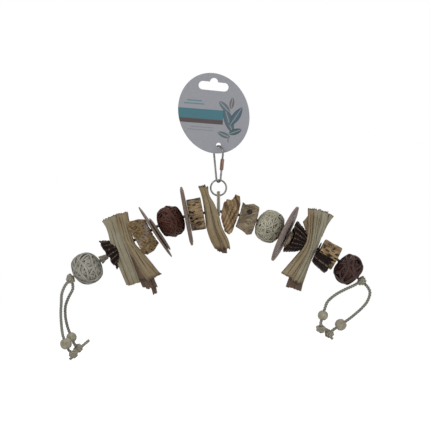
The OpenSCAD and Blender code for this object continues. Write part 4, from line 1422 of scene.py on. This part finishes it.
def broken_cup_piece():
    """What is left of a broken cup: its base disc, and the shell below it."""
    node = "broken_cup"
    wide, high = 110, 30
    wall, base, drop = 1.6, 3.0, 17.0
    radius = 13.3
    rings, lay, marks = [], [], []
    for k in range(wide):
        angle = math.radians(-82) + math.radians(164) * k / (wide - 1)
        chip = 2.2 * noise.noise(Vector((angle * 2.4, 3.1, 0))) - 0.6
        ring = []
        for s in range(high):
            share = s / (high - 1)
            x = -base / 2 + 0.2 + (drop + base / 2 + chip - 1.5) * share
            r = radius + 5.4 * share ** 0.7 + 0.5 * noise.noise(Vector((x * 0.25, angle * 3, 5)))
            r += 0.5 * abs(math.sin(5 * angle)) * share
            ring.append((x, r * math.sin(angle), -r * math.cos(angle)))
            lay.append((r * angle, x))
            marks.append(0.8 * abs(math.sin(5 * angle)) ** 10)
        for s in range(high - 1, -1, -1):
            share = s / (high - 1)
            x = -base / 2 + 0.2 + (drop + base / 2 + chip - 1.5) * share
            r = max(radius - 0.2 + 5.4 * share ** 0.7 - wall + 0.2, 13.35 if share > 0.1 else radius - wall)
            ring.append((x, r * math.sin(angle), -r * math.cos(angle)))
            lay.append((r * angle, -x))
            marks.append(0.1)
        rings.append(ring)
    points, faces = skin(rings)

    def disc_rows(angle):
        full = 1.0 if math.sin(angle) < 0.1 else 0.6
        rows = []
        for x, r in BROKEN_DISC:
            r = max(BORE_R, r * full) if r > 2 else r
            rows.append((x, r, r * angle, x, 0.2 * (r > 12)))
        return rows

    disc = round_shell(96, disc_rows)
    piece = piece_of("broken_cup_shell", *joined([(points, faces, lay, marks), disc]))
    thread_on(piece, pod, node)


broken_cup_piece()


# End knots, the stub and the hanging loop

def outward(body):
    """A strung piece's middle in millimetres, and the way along the core from the garland's middle."""
    joint = joints[body]
    return Vector(joint["pos_m"]) / MM, Vector(joint["axis"]).normalized()


def end_knot_piece(node, last_body, half_length):
    """Cord wound twice over itself and pulled tight where the string ends."""
    middle, way = outward(last_body)
    root = middle + way * (half_length + 0.2)
    side = Vector((0, 1, 0))
    up = way.cross(side)
    coil = [root + way * 1.0]
    for k in range(40):
        angle = TURN * k / 15
        r = 3.9 + 0.3 * math.sin(2.4 * angle) - 1.9 * (k / 39) ** 1.5
        at = 1.6 + 5.2 * k / 39 + 0.5 * math.sin(angle)
        coil.append(root + way * at + spoke(side, up, angle) * r)
    coil.append(root + way * 7.4)
    wraps = rope(smooth_path(coil, 0.5), CORD_R)
    plug = rope(smooth_path([root + way * 0.8, root + way * 4.0, root + way * 7.6], 0.5), 2.9)
    knot = piece_of(node + "_wrapped", *joined([wraps, plug]))
    finish_piece(knot, knot_finish, node, "garland")


end_knot_piece("left_end_knot", "left_pale_ball", 15.3)
end_knot_piece("right_end_knot", "right_brown_ball", 13.4)


def stub_piece():
    """Frayed cord between the left cup and the pale ball, spread where it meets the ball."""
    (cup, way), (ball, _) = outward("left_cup"), outward("left_pale_ball")
    first = cup + way * 8.0
    last = ball - way * 15.9
    side = Vector((0, 1, 0))
    up = way.cross(side)
    strands = []
    for k in range(13):
        angle = TURN * k / 13
        path = []
        for s in range(8):
            share = s / 7
            r = 1.9 + 0.5 * math.sin(5 * angle) * share + 1.9 * share ** 1.5
            path.append(first.lerp(last, share) + spoke(side, up, angle + 1.3 * share) * r)
        strands.append(rope(smooth_path(path, 0.5), 0.62 + 0.16 * math.sin(3 * k), 0.3))
    stub = piece_of("cord_stub_frayed", *joined(strands))
    finish_piece(stub, knot_finish, "cord_stub", "garland")


stub_piece()


def hanging_loop():
    """The cord loop over the ring's wire and under the core."""
    loop_x, top, low, reach = 4.5, -113.55, -129.55, 3.2
    path = []
    for start, here, there in ((0.0, top, low), (math.pi, low, top)):
        for k in range(13):
            angle = start + math.pi * k / 12
            path.append((loop_x, reach * math.cos(angle), here + reach * math.sin(angle)))
        for k in range(1, 6):
            path.append((loop_x, reach if start else -reach, here + (there - here) * k / 6))
    loop = piece_of("hanger_loop_cord", *rope(smooth_path(path, 0.6, True), 1.78, 0.0, True))
    finish_piece(loop, knot_finish, "hanger_loop", "garland")


hanging_loop()


# Quick link, sleeve and ring

LINK_X = 4.5
LINK_TOP_Z, LINK_TOP_R = -72.0, 8.0
LINK_LOW_Z, LINK_LOW_R = -96.0, 4.0
LEG_LEAN = math.radians(9.59407)
# From the front leg's top down to the gap in the wire, to its far end and to the sleeve over it
GAP_START, GAP_END, SLEEVE_START = 5.0, 10.0, 4.0
RING_Z, RING_R = -105.75, 7.8

link_turn = Matrix.Rotation(math.radians(-57), 4, "Z")
link_turn.translation = Vector((LINK_X, 0, 0))
front_top = Vector((LINK_TOP_R * math.cos(LEG_LEAN), 0.0, LINK_TOP_Z - LINK_TOP_R * math.sin(LEG_LEAN)))
front_low = Vector((LINK_LOW_R * math.cos(LEG_LEAN), 0.0, LINK_LOW_Z - LINK_LOW_R * math.sin(LEG_LEAN)))
leg_way = (front_low - front_top).normalized()
leg_side = leg_way.orthogonal().normalized()
leg_other = leg_way.cross(leg_side)


def bend(centre, radius, first, last, steps):
    """Points round one of the link's two bends."""
    angles = [first + (last - first) * k / steps for k in range(steps + 1)]
    return [Vector((radius * math.cos(a), 0.0, centre + radius * math.sin(a))) for a in angles]


def quick_link():
    """The wire, with a thread on each of its two ends."""
    upper_end = front_top + leg_way * GAP_START
    lower_end = front_top + leg_way * GAP_END
    path = [front_top + leg_way * (GAP_START - k) for k in range(5)]
    path += bend(LINK_TOP_Z, LINK_TOP_R, -LEG_LEAN, math.pi + LEG_LEAN, 40)
    back_low = Vector((-front_low.x, 0, front_low.z))
    back_top = Vector((-front_top.x, 0, front_top.z))
    path += [back_top.lerp(back_low, k / 14) for k in range(1, 14)]
    path += bend(LINK_LOW_Z, LINK_LOW_R, math.pi + LEG_LEAN, TURN - LEG_LEAN, 30)
    path += [front_low.lerp(lower_end, k / 9) for k in range(1, 10)]
    parts = [sweep([link_turn @ p for p in path], circle(0.99, 18))]
    for start, way in ((upper_end, -leg_way), (lower_end, leg_way)):
        coil = []
        for k in range(5 * 12):
            spot = start + way * (0.25 + 0.55 * k / 12)
            coil.append(link_turn @ (spot + spoke(leg_side, leg_other, TURN * k / 12) * 0.86))
        parts.append(sweep(coil, circle(0.2, 6)))
    link = piece_of("quick_link_wire", *joined(parts))
    finish_piece(link, bright_wire, "quick_link", "link")


def link_sleeve():
    """The six-sided sleeve over the gap in the front leg."""
    rings, lay, marks = [], [], []
    # Place along the sleeve, distance from its middle, and wear
    outline = [
        (0.0, 1.2, 0), (0.0, 1.62, 0.5), (0.35, 2.0, 0.2), (5.5, 2.0, 0), (10.65, 2.0, 0.2),
        (11.0, 1.62, 0.5), (11.0, 1.2, 0),
    ]
    for k in range(48):
        angle = TURN * k / 48
        facet = (angle + math.pi / 6) % (TURN / 6) - math.pi / 6
        flat = math.cos(math.pi / 6) / math.cos(facet)
        out = spoke(leg_side, leg_other, angle)
        ring = []
        for at, r, mark in outline:
            reach = r if r < 1.7 else max(r * flat, 1.7)
            ring.append(link_turn @ (front_top + leg_way * (SLEEVE_START + at) + out * reach))
            lay.append((r * angle, at))
            marks.append(mark)
        rings.append(ring)
    sleeve = piece_of("link_sleeve", *skin(rings, loop=True), lay, marks)
    edge = sleeve.modifiers.new("edge", "BEVEL")
    edge.width = 0.12 * MM
    edge.segments = 2
    edge.limit_method = "ANGLE"
    plain(sleeve)
    finish_piece(sleeve, sleeve_metal, "link_nut", "sleeve")


def wire_ring():
    """The round ring in the link's lower bend."""
    hoop = []
    for k in range(110):
        angle = TURN * k / 110 - 1.2
        hoop.append(Vector((LINK_X + RING_R * math.cos(angle), 0.0, RING_Z + RING_R * math.sin(angle))))
    ring = piece_of("ring_wire", *sweep(hoop, circle(0.88, 16), True))
    finish_piece(ring, bright_wire, "ring")


quick_link()
link_sleeve()
wire_ring()
